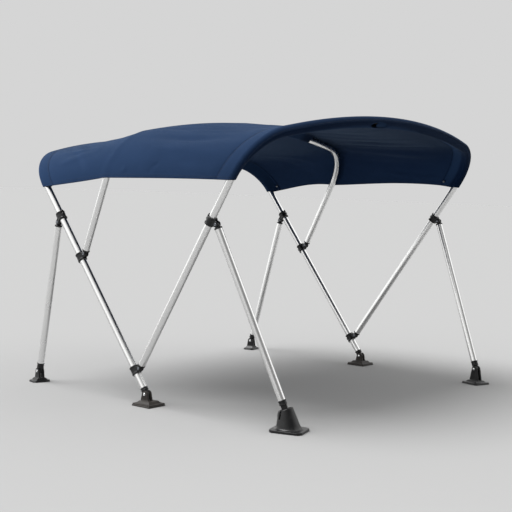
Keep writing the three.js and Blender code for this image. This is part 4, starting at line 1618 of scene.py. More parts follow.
@dataclass(frozen=True)
class EyeEnd(Moulding):
    """The end of a tube: a stepped collar that plugs it and a flat tongue with a hole."""

    tube_start: float = 14.0
    collar_start: float = 9.0
    bend: float = 7.0
    thickness: float = 6.0
    radius: float = 11.6
    waist: float = 0.9
    ring: float = 1.7
    foot_ring: float = 1.2
    cell: float = 0.85

    def field(self, p: Array) -> Array:
        """The collar with its ring, the waist and the tongue.

        Args:
            p: n by 3 points.

        Returns:
            The field at the points.
        """
        top = self.tube_start - 0.3
        half = (top - self.collar_start) / 2
        middle = self.collar_start + half
        long = half > 3.5
        value = drum(p, 2, (0, 0, middle), self.radius - (self.waist if long else 0.0), half, 1.0)
        if long:
            foot, low = self.foot_ring, self.collar_start + self.foot_ring
            value = join(value, drum(p, 2, (0, 0, top - self.ring), self.radius, self.ring, 0.8), 0.8)
            value = join(value, drum(p, 2, (0, 0, low), self.radius - 0.2, foot, 0.8), 0.8)
        outline = [(-self.bend, 0), (self.bend, 0), (self.bend, middle), (-self.bend, middle)]
        tongue = prism(p, outline, self.thickness / 2, 0.8)
        tongue = join(tongue, drum(p, 1, (0, 0, 0), self.bend, self.thickness / 2, 0.7), 0.6)
        value = join(value, tongue, 1.6)
        return cut(value, drum(p, 1, (0, 0, 0), self.pin_bore, 20, 0.1), 0.5)

    def limits(self) -> tuple[Sequence[float], Sequence[float]]:
        """The tongue's and the collar's space."""
        return (-self.radius, -self.radius, -self.bend), (self.radius, self.radius, self.tube_start)


@dataclass(frozen=True)
class PadSizes:
    """A fork foot's pad: its sides, corners and edge, and the low pyramid with the lobes' root on it."""

    length: float
    width: float
    corner: float
    edge: float
    top: float
    top_half: float
    root: float


PADS = {
    "left": PadSizes(length=46, width=62, corner=14, edge=6, top=13, top_half=14, root=15),
    "main": PadSizes(length=71, width=71, corner=4, edge=8, top=15, top_half=20, root=17),
    "right": PadSizes(length=72, width=70, corner=10, edge=6, top=12, top_half=18, root=21),
}


@dataclass(frozen=True)
class ForkBase(Moulding):
    """A flat pad, a low stepped pyramid and two lobes that hold the pin."""

    pad: PadSizes = PADS["main"]
    pin: float = 33.0
    shift: float = 0.0
    lobe: float = 11.0
    width: float = 21.0
    slot: float = 8.0
    step: float = 1.6
    cell: float = 1.15

    def field(self, p: Array) -> Array:
        """The pad, the pyramid and the lobes, without the slot and the pin's bore.

        Args:
            p: n by 3 points.

        Returns:
            The field at the points.
        """
        pad = self.pad
        q = p - np.array([self.shift, 0, 0])
        inset = pad.corner * (1 - math.sqrt(0.5)) + 1
        base = (pad.length / 2 - inset, pad.width / 2 - inset, 0.0)
        slopes = taper(q, base, (pad.top_half, pad.top_half, pad.top), 0.8)
        outline = [(-pad.root, pad.edge), (pad.root, pad.edge), (self.lobe, self.pin), (-self.lobe, self.pin)]
        lobes = prism(p, outline, self.width / 2, 2.0)
        lobes = join(lobes, drum(p, 1, (0, 0, self.pin), self.lobe, self.width / 2, 2.0), 1.0)
        depth = 2 * self.pin
        lobes = cut(lobes, block(p, (0, 0, pad.top + depth / 2), (80, self.slot / 2, depth / 2), 0.2), 0.6)
        low = slab(q, pad.length / 2, pad.width / 2, pad.corner, 0, pad.edge * 0.5)
        length, width, corner = (size - self.step for size in (pad.length / 2, pad.width / 2, pad.corner))
        high = slab(q, length, width, max(2.5, corner), 0, pad.edge)
        value = join(join(low, high, 0.7), slopes, 1.4)
        value = join(value, lobes, 2.2)
        value = np.maximum(value, -p[:, 2])
        return cut(value, drum(p, 1, (0, 0, self.pin), self.pin_bore, 40, 0.1), 0.5)

    def limits(self) -> tuple[Sequence[float], Sequence[float]]:
        """The pad's and the lobes' space."""
        half = self.pad.length / 2 + abs(self.shift)
        return (-half, -self.pad.width / 2, 0), (half, self.pad.width / 2, self.pin + self.lobe)


@dataclass(frozen=True)
class BellBase(Moulding):
    """A tall leaning bell that flows into a rounded flange, slotted through its top and one side."""

    pin: float = 55.0
    shift: float = 12.0
    top: float = 68.0
    mouth: float = 60.0
    mouth_turn: float = 20.0
    top_radius: float = 18.0
    base_radius: float = 36.0
    length: float = 94.0
    width: float = 85.0
    corner: float = 16.0
    edge: float = 7.0
    flare_top: float = 14.0
    flare_half: float = 17.0
    slot: float = 8.0
    slot_floor: float = 35.0
    slot_end: float = 13.0
    wall: float = 3.4
    hollow: float = 9.0
    lip: float = 2.2
    lip_proud: float = 0.9
    groove_turn: float = -111.0
    groove_half: float = 2.4
    groove_tall: float = 27.0
    groove_from: float = 15.0
    cell: float = 1.35

    def field(self, p: Array) -> Array:
        """The leaning cone on its flange, with its slanted mouth and the lip round the slot.

        Args:
            p: n by 3 points.

        Returns:
            The field at the points.
        """
        q = p - np.array([self.shift, 0, 0])
        flange = slab(q, self.length / 2, self.width / 2, self.corner, 0, self.edge)
        rise = (p[:, 2] - self.edge / 2) / (self.top - self.edge / 2)
        axis_x = self.shift * (1 - p[:, 2] / self.top)
        out = np.hypot(p[:, 0] - axis_x, p[:, 1])
        wall = self.base_radius + (self.top_radius - self.base_radius) * np.clip(rise, 0, 1)
        steep = math.cos(math.atan2(self.base_radius - self.top_radius, self.top))
        turn = math.radians(self.mouth_turn)
        above = (p[:, 2] - self.mouth) * math.cos(turn) - p[:, 0] * math.sin(turn)
        cone = trim((out - wall) * steep, np.maximum(above, -p[:, 2]), 2.0)
        base = ((self.length - self.corner) / 2, (self.width - self.corner) / 2, 0.0)
        flare = taper(q, base, (self.flare_half, self.flare_half, self.flare_top), 2.0)
        value = join(join(flange, flare, 3.0), cone, 8.0)
        floor = self.slot_floor + 30
        middle = self.slot_end - 60
        channel = block(p, (middle, 0, floor), (60, self.slot / 2, 30), 1.0)
        lip = block(p, (middle, 0, floor), (60 + self.lip, self.slot / 2 + self.lip, 30), 2.0)
        raised = np.maximum(lip, cone - self.lip_proud)
        value = join(value, trim(raised, above, 0.6), 0.8)
        value = cut(value, channel, 1.0)
        hollow = trim((out - wall) * steep + self.wall, -above - self.hollow, 1.0)
        value = cut(value, hollow, 0.8)
        seen = math.radians(self.groove_turn)
        along = p[:, 0] * math.cos(seen) + p[:, 1] * math.sin(seen)
        aside = p[:, 1] * math.cos(seen) - p[:, 0] * math.sin(seen)
        groove = np.maximum(np.abs(aside) - self.groove_half, self.mouth - self.groove_tall - p[:, 2])
        value = cut(value, np.maximum(groove, self.groove_from - along), 0.8)
        value = np.maximum(value, -p[:, 2])
        return cut(value, drum(p, 1, (0, 0, self.pin), self.pin_bore, 18, 0.1), 0.5)

    def limits(self) -> tuple[Sequence[float], Sequence[float]]:
        """The flange's and the bell's space."""
        half = self.length / 2 + self.shift
        return (-half, -self.width / 2, 0), (half, self.width / 2, self.top + 1)


# Sub-assemblies


class Finishes:
    """Every finish of the object, made once."""

    def __init__(self) -> None:
        """Builds all the materials."""
        outer = Canvas("navy_canvas", colour(0.0093, 0.0222, 0.0555), colour(0.0153, 0.0332, 0.079))
        # The lining is the same canvas made a little darker, as painted shade for the linings seen from
        # underneath
        lining = Canvas("navy_lining", colour(0.0078, 0.0202, 0.0512), colour(0.0124, 0.0297, 0.0728))
        brown, rubbed = colour(0.017, 0.0135, 0.0115), colour(0.05, 0.043, 0.038)
        self.canopy = outer.material()
        self.lining = lining.material()
        self.tube = PolishedTube().material()
        self.plastic = MouldedPlastic("black_nylon").material()
        self.pad_plastic = MouldedPlastic("brownish_black_nylon", brown, rubbed, 0.5).material()
        self.coupler = MouldedPlastic("matt_black_coupler", gloss=0.75).material()
        self.steel = BrightSteel("stainless_screws").material()
        self.stud = BrightSteel("dull_studs", colour(0.2, 0.21, 0.23), 0.45).material()
        self.thread = Thread("navy_thread", colour(0.005, 0.008, 0.02)).material()
        self.floor = StudioFloor().material()


@dataclass
class TubeFrame:
    """The bows and braces: round tubes that start a little way from their pins."""

    layout: Layout
    finishes: Finishes
    sides: int = 40
    spacing: float = 0.25
    least: int = 12
    coupling_half: float = 40.0
    coupling_count: int = 24
    gap: float = 0.3

    def _bow(self, name: str, bow: Bow, first: float, last: float, node: str) -> None:
        """One run of a bow."""
        count = max(self.least, int((last - first) / self.spacing))
        self._tube(name, self._path(bow, first, last, count), self.finishes.tube, node)

    def _path(self, bow: Bow, first: float, last: float, count: int) -> Array:
        """Points along a bow from station to station."""
        return np.array([self.layout.curves[bow].at(s) for s in np.linspace(first, last, count)])

    def _tube(self, name: str, path: Array, material: Material, node: str) -> None:
        """A tube along a path.

        Args:
            name: The piece's name.
            path: Its centre line, in metres.
            material: Its finish.
            node: The CAD node that it stands for.
        """
        piece = wire(name, [path])
        TubeShape().run(piece, Radius=TUBE_RADIUS, Sides=self.sides, Finish=material)
        face_out(piece)
        finish_piece(piece, "tube" if material is self.finishes.tube else "black_plastic", node)

    def build(self) -> None:
        """Builds the three bows, the coupling and the four braces."""
        starts = {
            bow: self.layout.curves[bow].station_at_distance(TUBE_START[foot][Side.NEAR] * MM)
            for bow, foot in ((Bow.MAIN, "main"), (Bow.MIDDLE, "jaw"), (Bow.END, "jaw"))
        }
        for bow in (Bow.MAIN, Bow.MIDDLE):
            name = bow.value
            self._bow(f"{name}_bow_tube", bow, starts[bow], LAST - starts[bow], f"bow_{name}")
        start, half, end = starts[Bow.END], self.coupling_half, self.layout.curves[Bow.END]
        near, first, last, far = (
            end.station_at_y((COUPLING_Y + offset) * MM)
            for offset in (-half - self.gap, -half, half, half + self.gap)
        )
        self._bow("end_bow_near_tube", Bow.END, start, near, "bow_end_near")
        self._bow("end_bow_far_tube", Bow.END, far, LAST - start, "bow_end_far")
        path = self._path(Bow.END, first, last, self.coupling_count)
        self._tube("end_bow_coupler", path, self.finishes.coupler, "bow_end_coupling")
        for side in Side:
            for name in ("left", "right"):
                pin, held = FEET[name].pin(side), self.layout.jaws[side][f"{name}_brace"].pin
                up = unit(held - pin)
                low, high = pin + up * TUBE_START[name][side] * MM, held - up * TUBE_START["jaw"][side] * MM
                path = np.linspace(low, high, self.least)
                label = f"{name}_brace_{side.label}_tube"
                self._tube(label, path, self.finishes.tube, f"brace_{name}_{side.label}")


@dataclass
class Fittings:
    """The black jaw slides, eye ends and feet, and the pins through them."""

    layout: Layout
    finishes: Finishes
    head_radius: float = 4.6
    head_height: float = 1.8
    gap: float = 0.3
    jaw_grip: float = 15.0
    foot_grip: float = 21.0
    bell_grip: float = 34.0
    bell_collar: float = 17.0
    foot_collar: float = 11.5
    foot_bend: float = 8.5
    pins: dict = field(default_factory=lambda: {"jaw_pins": [], "foot_pins": [], "bell_pin": []})

    def _mould(self, mould: Moulding, name: str, place: Matrix, node: str) -> None:
        """Builds and places a moulding.

        Args:
            mould: The moulding.
            name: The piece's name.
            place: From its millimetres to the frame's metres.
            node: The CAD node that it stands for.
        """
        main_pad = isinstance(mould, ForkBase) and mould.pad is PADS["main"]
        material = self.finishes.pad_plastic if main_pad else self.finishes.plastic
        finish_piece(mould.build(name, place, material), "black_plastic", node)

    def _jaws(self, side: Side) -> None:
        """The four jaw slides and their eye ends.

        Args:
            side: The side.
        """
        for name, jaw in self.layout.jaws[side].items():
            label = f"{name}_{side.label}"
            place = placed(jaw.middle, jaw.tube, jaw.across)
            self._mould(JawSlide(drop=jaw.drop), f"{name}_jaw_{side.label}", place, f"jaw_{label}")
            place = placed(jaw.pin, jaw.held, jaw.across)
            self._mould(EyeEnd(), f"{name}_eye_{side.label}", place, f"jaw_eye_{label}")
            self.pins["jaw_pins"].append((jaw.pin, jaw.across, f"jaw_pin_{label}"))

    def _feet(self, side: Side) -> None:
        """The three feet and their eye ends.

        Args:
            side: The side.
        """
        for name, foot in FEET.items():
            pin, up = foot.pin(side), self.layout.foot_up(name, side)
            across = self.layout.foot_across(name, side)
            label = f"{name}_{side.label}"
            bell = name == "right" and side is Side.NEAR
            collar = self.bell_collar if bell else self.foot_collar
            eye = EyeEnd(tube_start=TUBE_START[name][side], collar_start=collar, bend=self.foot_bend)
            self._mould(eye, f"{name}_foot_eye_{side.label}", placed(pin, up, across), f"foot_eye_{label}")
            place = placed(np.array([pin[0], pin[1], 0.0]), np.array([0.0, 0.0, 1.0]), across)
            if bell:
                base: Moulding = BellBase(pin=foot.pin_near, shift=foot.shift_near)
            else:
                base = ForkBase(pad=PADS[name], pin=float(pin[2] / MM), shift=foot.shift(side))
            self._mould(base, f"{name}_foot_{side.label}", place, f"foot_base_{label}")
            self.pins["bell_pin" if bell else "foot_pins"].append((pin, across, f"foot_pin_{label}"))

    def _screw(self, name: str, grip: float, headed: bool) -> Object:
        """A pin turned round its local Z, with a domed head at each end and a socket in one.

        Args:
            name: The object's name.
            grip: What the heads clamp, in millimetres.
            headed: Whether it has heads, or is a plain pin.

        Returns:
            The pin at the origin.
        """
        half, shaft = grip / 2 + self.gap, PIN_RADIUS / MM
        head, end = self.head_radius, half + self.head_height
        low = [(0, -end), (head - 1.2, -end), (head - 0.3, -end + 0.5), (head, -half - 0.4)]
        high = [
            (head - 0.2, half), (head, half + 0.4), (head - 0.35, end - 0.6), (head - 1.4, end),
            (2.0, end), (1.8, end - 1.0), (0, end - 1.0),
        ]
        profile = low + [(head - 0.2, -half), (shaft, -half), (shaft, half)] + high
        if not headed:
            rim = [(0, half), (shaft - 0.4, half), (shaft, half - 0.4)]
            profile = [(radius, -height) for radius, height in rim] + rim[::-1]
        return turned_piece(name, profile, Matrix.Scale(MM, 4), self.finishes.steel)

    def build(self) -> None:
        """Builds both sides' mouldings, then all the pins of each kind, placed by the fastener tree."""
        for side in Side:
            self._jaws(side)
            self._feet(side)
        grips = {"jaw_pins": self.jaw_grip, "foot_pins": self.foot_grip, "bell_pin": self.bell_grip}
        for name, grip in grips.items():
            part = self._screw(f"{name}_part", grip, name != "bell_pin")
            places, across, nodes = zip(*self.pins[name])
            axes = [[axis * (1 if place[1] > 0 else -1)] for place, axis in zip(places, across)]
            piece = wire(name, [[place] for place in places], "axis", axes)
            finish = self.finishes.stud if name == "jaw_pins" else self.finishes.steel
            FastenerShape().run(piece, Part=part, Scale=1.0, Finish=finish)
            bpy.data.objects.remove(part)
            finish_piece(piece, "stainless", *nodes)


@dataclass
class Canopy:
    """The navy sheet: it wraps both outer bows, passes over the middle one and is hemmed all round."""

    shape: ClothShape
    finishes: Finishes
    thickness: float = 0.9
    hem_width: float = 13.0
    hem_thickness: float = 1.5
    crowding: float = 0.11
    rows: int = 210
    columns: tuple[int, ...] = (11, 14, 10, 40, 84, 12, 10, 11)
    seam_strips: tuple[float, float] = (0.02, 0.012)
    seam_at: tuple[int, int] = (30, 165)
    middle_at: int = 75
    rim_hem: tuple[float, float] = (5.2, 6.0)
    # Painted shade: a dark line along the hems and the seams' creases, darker bands on the end bow's wrap low
    # down and under the crown, and along the far rim
    hem_dark: float = 0.4
    hem_fade: tuple[float, float] = (0.8, 2.6)
    seam_dark: float = 0.6
    seam_width: float = 1.7
    side_dark: float = 0.75
    side_fade: tuple[float, float] = (2, 15)
    crown_dark: float = 0.6
    crown_fade: tuple[float, float] = (12, 32)
    far_fade: tuple[float, float] = (5, 10)
    # Painted shade of the inner face: a base, a rise towards the crown, a peak at the shoulders and a share
    # for the left bay
    coat_low: float = 0.28
    coat_rise: float = 0.3
    coat_shoulder: float = 1.8
    coat_left: float = 0.5

    def _lay_out(self) -> Array:
        """Lays out the sheet's grid, closer together at both hems and at the seams.

        Returns:
            The rows' stations.
        """
        even = np.linspace(0, 1, self.rows)
        stations = HEM + (LAST_HEM - HEM) * (even - self.crowding * np.sin(2 * np.pi * even))
        left, right = (self.shape.seam_column(stations, bow) for bow in POCKET_WIDTHS)
        wide, slim = self.seam_strips
        stops = (0, 1, left - wide, left + wide, 2, right - slim, right + slim, 3, 4)
        columns = [
            low + (high - low) * np.arange(count) / count + 0 * left
            for low, high, count in zip(stops, stops[1:], self.columns)
        ]
        columns = np.concatenate(columns + [np.full_like(left, 4)], axis=1)
        self.grid = SheetGrid(self.shape.surface(stations, columns)[0])
        return stations

    def _shades(self, stations: Array) -> tuple[Array, Array]:
        """The sheet's painted shade.

        Args:
            stations: The rows' stations.

        Returns:
            The painted shade of each point outside and inside, from 0 to 1.
        """
        across, edge, rim = self.grid.across, self.grid.edge / MM, self.grid.rim / MM
        right_half = across > across[:, -1:] / 2
        up = self.shape.crown_share(stations)[:, None]
        seam = np.minimum(*(np.abs(across - across[:, [k]]) / MM for k in self.seam_at))
        # Painted shade outside: hem edges, seam creases and the end bow's wrap, where shade falls
        far_rim_shade = smooth_step(stations, TOP, TOP + 6)[:, None] * right_half
        low_rim_shade = self.side_dark * (1 - up) * (1 - smooth_step(rim, *self.side_fade))
        high_rim_shade = self.crown_dark * up * (1 - smooth_step(rim, *self.crown_fade))
        outer = self.hem_dark * (1 - smooth_step(edge, *self.hem_fade))
        outer = np.maximum(outer, self.seam_dark * np.exp(-((seam / self.seam_width) ** 2)))
        outer = np.maximum(outer, far_rim_shade * (1 - smooth_step(rim, *self.far_fade)))
        outer = np.maximum(outer, np.maximum(low_rim_shade, high_rim_shade) * right_half)
        # Painted shade inside: darker towards the crown, most at the shoulders, less in the left bay and full
        # on the rim wraps
        inner = self.coat_low + self.coat_rise * up + self.coat_shoulder * up * (1 - up) + 0 * rim
        inner[:, : self.middle_at] *= self.coat_left
        inner[:, : self.seam_at[0]] = inner[:, self.seam_at[1] + 1 :] = 1
        return outer, inner

    def build(self) -> Object:
        """Builds and places the sheet.

        Returns:
            The piece.
        """
        outer, inner = self._shades(self._lay_out())
        grid = self.grid
        doubled = 1 - smooth_step(grid.edge / MM, self.hem_width - 0.8, self.hem_width + 0.4)
        doubled = np.maximum(doubled, 1 - smooth_step(grid.rim / MM, *self.rim_hem))
        thick = (self.thickness + (self.hem_thickness - self.thickness) * doubled) * MM
        grid.uv[..., 0] -= grid.across[:, [grid.across.shape[1] // 2]]
        piece = sheet_piece("canopy_cloth", grid, thick, self.finishes.canopy, inner, outer)
        return finish_piece(piece, "canopy_cloth", "canopy")


@dataclass
class Pocket:
    """A pocket round an outer bow: from the canopy's rim under the tube to a seam on the canopy."""

    shape: ClothShape
    finishes: Finishes
    bow: Bow
    name: str
    thickness: float = 0.8
    offset: float = 11.9
    clear: float = 4.0
    flange: float = 7.0
    slack_low: float = 2.0
    slack_crown: float = 8.0
    rows: int = 170
    wrap_count: int = 26
    flat_count: int = 9
    wrap_parts: int = 5
    flat_parts: int = 2
    flange_at: tuple[float, ...] = (0.65, 0.3, 0.0)
    # Painted shade on the wrap round the end bow: its darkness, how far round the tube it reaches low, at the
    # crown and on the far half, and how soft its edge is
    end_dark: float = 0.85
    dark_low: float = 24.0
    dark_crown: float = -12.0
    dark_far: float = 20.0
    dark_soft: float = 6.0

    def _points(self, stations: Array) -> Array:
        """The lining's middle points at some stations.

        Args:
            stations: The rows' stations.

        Returns:
            n by m by 3 points.
        """
        outward = -1 if self.bow is Bow.MAIN else 1
        frame_at = self.shape.rows(stations)[self.bow]

        def sewn(inset: float) -> Array:
            """Points just under the canopy, inset from the seam towards the bow."""
            return self.shape.under(stations, self.shape.seam_column(stations, self.bow, inset))

        seam, radius = sewn(self.flange), self.offset * MM
        start = RIM_ANGLE + math.radians(self.clear)
        leave = self.shape.leave_angle(frame_at, seam, radius)
        wrap_share, flat_share = np.linspace(0, 1, self.wrap_count), np.linspace(0, 1, self.flat_count)[1:]
        wrap = self.shape.ring(frame_at, radius, start + (leave - start) * wrap_share, outward)
        flat = wrap[:, -1:] * (1 - flat_share[:, None]) + seam * flat_share[:, None]
        place = np.concatenate([self.wrap_parts * wrap_share, self.wrap_parts + self.flat_parts * flat_share])
        place = place / (self.wrap_parts + self.flat_parts)
        slack = self.slack_low + self.slack_crown * self.shape.crown_share(stations)
        hang = frame_at["up"] * (slack[:, None] * np.sin(np.pi * place) * MM)[..., None]
        flange = [sewn(self.flange * share) for share in self.flange_at]
        return np.concatenate([np.concatenate([wrap, flat], axis=1) - hang, *flange], axis=1)

    def build(self) -> Object:
        """Builds the lining, with painted shade on its wrap round the end bow.

        Returns:
            The piece.
        """
        stations = np.linspace(HEM, LAST_HEM, self.rows)
        self.grid = SheetGrid(self._points(stations))
        shade, inner = self.grid.dark_edges(), 0.0
        # Painted shade on the end bow's wrap, and over the whole inner face
        if self.bow is Bow.END:
            reach = self.dark_low + self.dark_crown * self.shape.crown_share(stations)
            reach = reach + self.dark_far * smooth_step(stations, TOP, TOP + 6)
            off = self.grid.across / MM - reach[:, None]
            wrapped = 1 - smooth_step(off, -self.dark_soft, self.dark_soft)
            shade, inner = np.maximum(shade, self.end_dark * wrapped), 1.0
        thick = self.grid.lining_thickness(self.thickness)
        return sheet_piece(self.name, self.grid, thick, self.finishes.lining, inner, shade)

    def seam_line(self, inset: float, lift: float) -> tuple[Array, Array]:
        """A line on the canopy, inset from the seam."""
        stations = np.linspace(HEM + 0.05, LAST_HEM - 0.05, 240)
        return self.shape.line(stations, self.shape.seam_column(stations, self.bow, inset), lift)


@dataclass
class OvalOpening:
    """The oval opening in the right pocket: bound round its edge, half closed by a flap inside."""

    shape: ClothShape
    finishes: Finishes
    half_length: float = 42.0
    half_width: float = 9.5
    depth: float = 24.0
    right: float = 8.5
    down: float = 15.5
    turn: float = 45.0
    sides: int = 64
    binding_radius: float = 0.8
    flap_thickness: float = 0.8
    flap_from: float = 0.1
    flap_to: float = 1.02
    flap_hollow: float = 0.4
    flap_side: float = 0.86
    flap_inward: float = 1.6
    flap_lean: float = 1.4
    probe: float = 0.03

    def _lay_out(self) -> None:
        """Works out the oval's middle and its directions along the bow, through the cloth and sideways."""
        station = self.shape.curves[Bow.END].station_at_y(COUPLING_Y * MM)
        at = {k: v[0, 0] for k, v in self.shape.rows(np.array([station]))[Bow.END].items()}
        row = np.cross(at["along"], at["up"])
        tilt = math.radians(self.turn)
        self.along = at["along"]
        self.through = row * math.sin(tilt) - at["up"] * math.cos(tilt)
        self.middle = at["point"] + row * self.right * MM - at["up"] * self.down * MM
        self.side = np.cross(self.along, self.through)

    def _spot(self, u: float, v: float) -> Array:
        """The point at shares of the oval's half length and half width from its middle."""
        return self.middle + (self.along * self.half_length * u + self.side * self.half_width * v) * MM

    def open(self, lining: Object) -> list[Object]:
        """Cuts the oval through the lining, binds its edge and lays the flap behind it.

        Args:
            lining: The right pocket's sheet.

        Returns:
            The binding and the flap, as pieces of their own.
        """
        self._lay_out()
        work = bmesh.new()
        work.from_mesh(lining.data)
        tree = BVHTree.FromBMesh(work)
        work.free()

        def on_lining(u: float, v: float) -> Array:
            """The lining's outer face at a place of the oval."""
            start = Vector(self._spot(u, v) + self.through * self.probe)
            return np.array(tree.ray_cast(start, Vector(-self.through), 2 * self.probe)[0])

        angles = 2 * np.pi * np.arange(self.sides + 1) / self.sides
        ring = np.array([on_lining(math.cos(a), math.sin(a)) for a in angles])
        flap = self._flap(on_lining)
        self._cut(lining)
        binding = wire("opening_binding", [ring])
        TubeShape().run(binding, Radius=self.binding_radius * MM, Sides=10, Finish=self.finishes.lining)
        face_out(binding)
        layer = binding.data.uv_layers.new(name="cloth")
        layer.data.foreach_set("uv", np.zeros(len(binding.data.loops) * 2, np.float32))
        return [binding, flap]

    def _flap(self, on_lining: Callable[[float, float], Array]) -> Object:
        """A flap sewn behind the far end of the oval, whose free edge is hollowed.

        Args:
            on_lining: Finds the lining's outer face at a place of the oval.

        Returns:
            The piece.
        """
        rows = []
        for share in np.linspace(0, 1, 24):
            inward = self.through * (self.flap_inward + self.flap_lean * (1 - share)) * MM
            row = []
            for v in np.linspace(-self.flap_side, self.flap_side, 12):
                free = self.flap_from - self.flap_hollow * (1 - v * v)
                row.append(on_lining(free + (self.flap_to - free) * share, v) - inward)
            rows.append(row)
        grid = SheetGrid(np.array(rows))
        return sheet_piece("opening_flap", grid, self.flap_thickness * MM, self.finishes.lining)

    def _cut(self, lining: Object) -> None:
        """Takes an oval plug out of the lining.

        Args:
            lining: The right pocket's sheet.
        """
        n, reach = self.sides, self.through * self.depth / 2 * MM
        ring = [self._spot(math.cos(2 * math.pi * i / n), math.sin(2 * math.pi * i / n)) for i in range(n)]
        faces = [[i, (i + 1) % n, n + (i + 1) % n, n + i] for i in range(n)]
        faces += [list(range(n))[::-1], [n + i for i in range(n)]]
        corners = np.array([s - reach for s in ring] + [s + reach for s in ring])
        plug = new_piece("oval_plug", corners, faces, self.finishes.lining)
        face_out(plug)
        modifier = lining.modifiers.new("opening", "BOOLEAN")
        modifier.operation = "DIFFERENCE"
        modifier.solver = "EXACT"
        modifier.object = plug
        settle(lining)
        bpy.data.objects.remove(plug)


@dataclass
class MiddleSleeve:
    """The short sleeve that hangs the canopy on the middle bow, sewn on each side of the tube."""

    shape: ClothShape
    finishes: Finishes
    half_length: float = 325.0
    flange: float = 24.0
    seam: float = 8.0
    offset: float = 11.9
    thickness: float = 0.8
    rows: int = 100
    wrap_count: int = 24
    ease_count: int = 7
    # Painted shadow at the sleeve's ends, and the millimetres over which it fades
    end_dark: float = 0.95
    end_fade: tuple[float, float] = (30, 75)

    def stations(self, count: int) -> Array:
        """Stations from end to end of the sleeve."""
        end = self.shape.curves[Bow.MIDDLE].station_at_y(-self.half_length * MM)
        return np.linspace(end, LAST - end, count)

    def _points(self, stations: Array) -> Array:
        """The sleeve's middle points.

        Args:
            stations: The rows' stations.

        Returns:
            n by m by 3 points.
        """
        frame_at = self.shape.rows(stations)[Bow.MIDDLE]
        radius = self.offset * MM

        def side(right: bool) -> tuple[Array, Array]:
            """The sewn strip on one side, from the seam outwards, and where the sleeve leaves the tube.

            Args:
                right: Whether it is the right side.

            Returns:
                The strip, and the angle at each station.
            """
            strip = []
            for distance in (self.flange, self.flange + self.seam / 2, self.flange + self.seam):
                column = self.shape.column_beside(stations, Bow.MIDDLE, right, distance * MM)
                strip.append(self.shape.under(stations, column))
            return np.concatenate(strip, axis=1), self.shape.leave_angle(frame_at, strip[0], radius)

        left, left_leave = side(False)
        right, right_leave = side(True)
        angles = left_leave + (2 * math.pi - right_leave - left_leave) * np.linspace(0, 1, self.wrap_count)
        wrap = self.shape.ring(frame_at, radius, angles, 1)
        ease = np.linspace(0, 1, self.ease_count)[1:-1, None]
        into = left[:, :1] * (1 - ease) + wrap[:, :1] * ease
        out_of = wrap[:, -1:] * (1 - ease) + right[:, :1] * ease
        return np.concatenate([left[:, ::-1], into, wrap, out_of, right], axis=1)

    def build(self) -> Object:
        """Builds the sleeve, with painted shadow at both ends.

        Returns:
            The piece.
        """
        self.grid = SheetGrid(self._points(self.stations(self.rows)))
        thick = self.grid.lining_thickness(self.thickness)
        shade = self.end_dark * (1 - smooth_step(self.grid.edge / MM, *self.end_fade))
        return sheet_piece("middle_bow_sleeve", self.grid, thick, self.finishes.lining, shade=shade)


@dataclass
class Stitching:
    """The rows of stitches of the seams and hems, on the canopy's outer face."""

    shape: ClothShape
    finishes: Finishes
    pitch: float = 4.2
    length: float = 1.55
    width: float = 0.42
    lift: float = 0.55
    hem_lift: float = 0.85
    seam_insets: tuple[float, float] = (1.6, 5.2)
    hem_insets: tuple[float, float] = (2.4, 10.6)
    rim_columns: tuple[float, float] = (0.16, 3.84)
    hem_columns: tuple[float, float] = (0.35, 3.65)
    sleeve_inset: float = 3.0
    seed: int = 7

    def build(self, pockets: Sequence[Pocket], sleeve: MiddleSleeve) -> Object:
        """Builds every row as one piece.

        Args:
            pockets: The pockets whose seams are stitched.
            sleeve: The middle bow's sleeve, stitched on each side.

        Returns:
            The piece.
        """
        shape = self.shape
        rows = [pocket.seam_line(inset, self.lift) for pocket in pockets for inset in self.seam_insets]
        first, last = self.hem_columns
        ends = (np.linspace(first, 1, 12)[:-1], np.linspace(3, last, 12)[1:])
        columns = np.concatenate([ends[0], np.linspace(1, 3, 260), ends[1]])
        for hem, inward in ((HEM, 1), (LAST_HEM, -1)):
            for inset in self.hem_insets:
                station = np.array([self._station_at_arc(hem, inset * inward)])
                rows.append(shape.line(station, columns, self.hem_lift))
        stations = sleeve.stations(160)
        beside = (sleeve.flange + self.sleeve_inset) * MM
        for right in (False, True):
            column = shape.column_beside(stations, Bow.MIDDLE, right, beside)
            rows.append(shape.line(stations, column, self.lift))
        stations = np.linspace(HEM, LAST_HEM, 260)
        for column in self.rim_columns:
            rows.append(shape.line(stations, np.array([column]), self.hem_lift))
        paths, facings = zip(*rows)
        piece = wire("canopy_stitches", paths, "facing", facings)
        sizes = {"Pitch": self.pitch * MM, "Length": self.length * MM, "Width": self.width * MM}
        StitchShape().run(piece, Seed=self.seed, Finish=self.finishes.thread, **sizes)
        return finish_piece(piece, "canopy_cloth")

    def _station_at_arc(self, hem: float, distance: float) -> float:
        """The station a distance up the arch from a hem.

        Args:
            hem: The hem's station.
            distance: Millimetres up the arch, negative towards the near side.

        Returns:
            The station.
        """
        arc, stations = self.shape.arc, self.shape.arc_stations
        start = float(np.interp(hem, stations, arc))
        return float(np.interp(start + distance * MM, arc, stations))


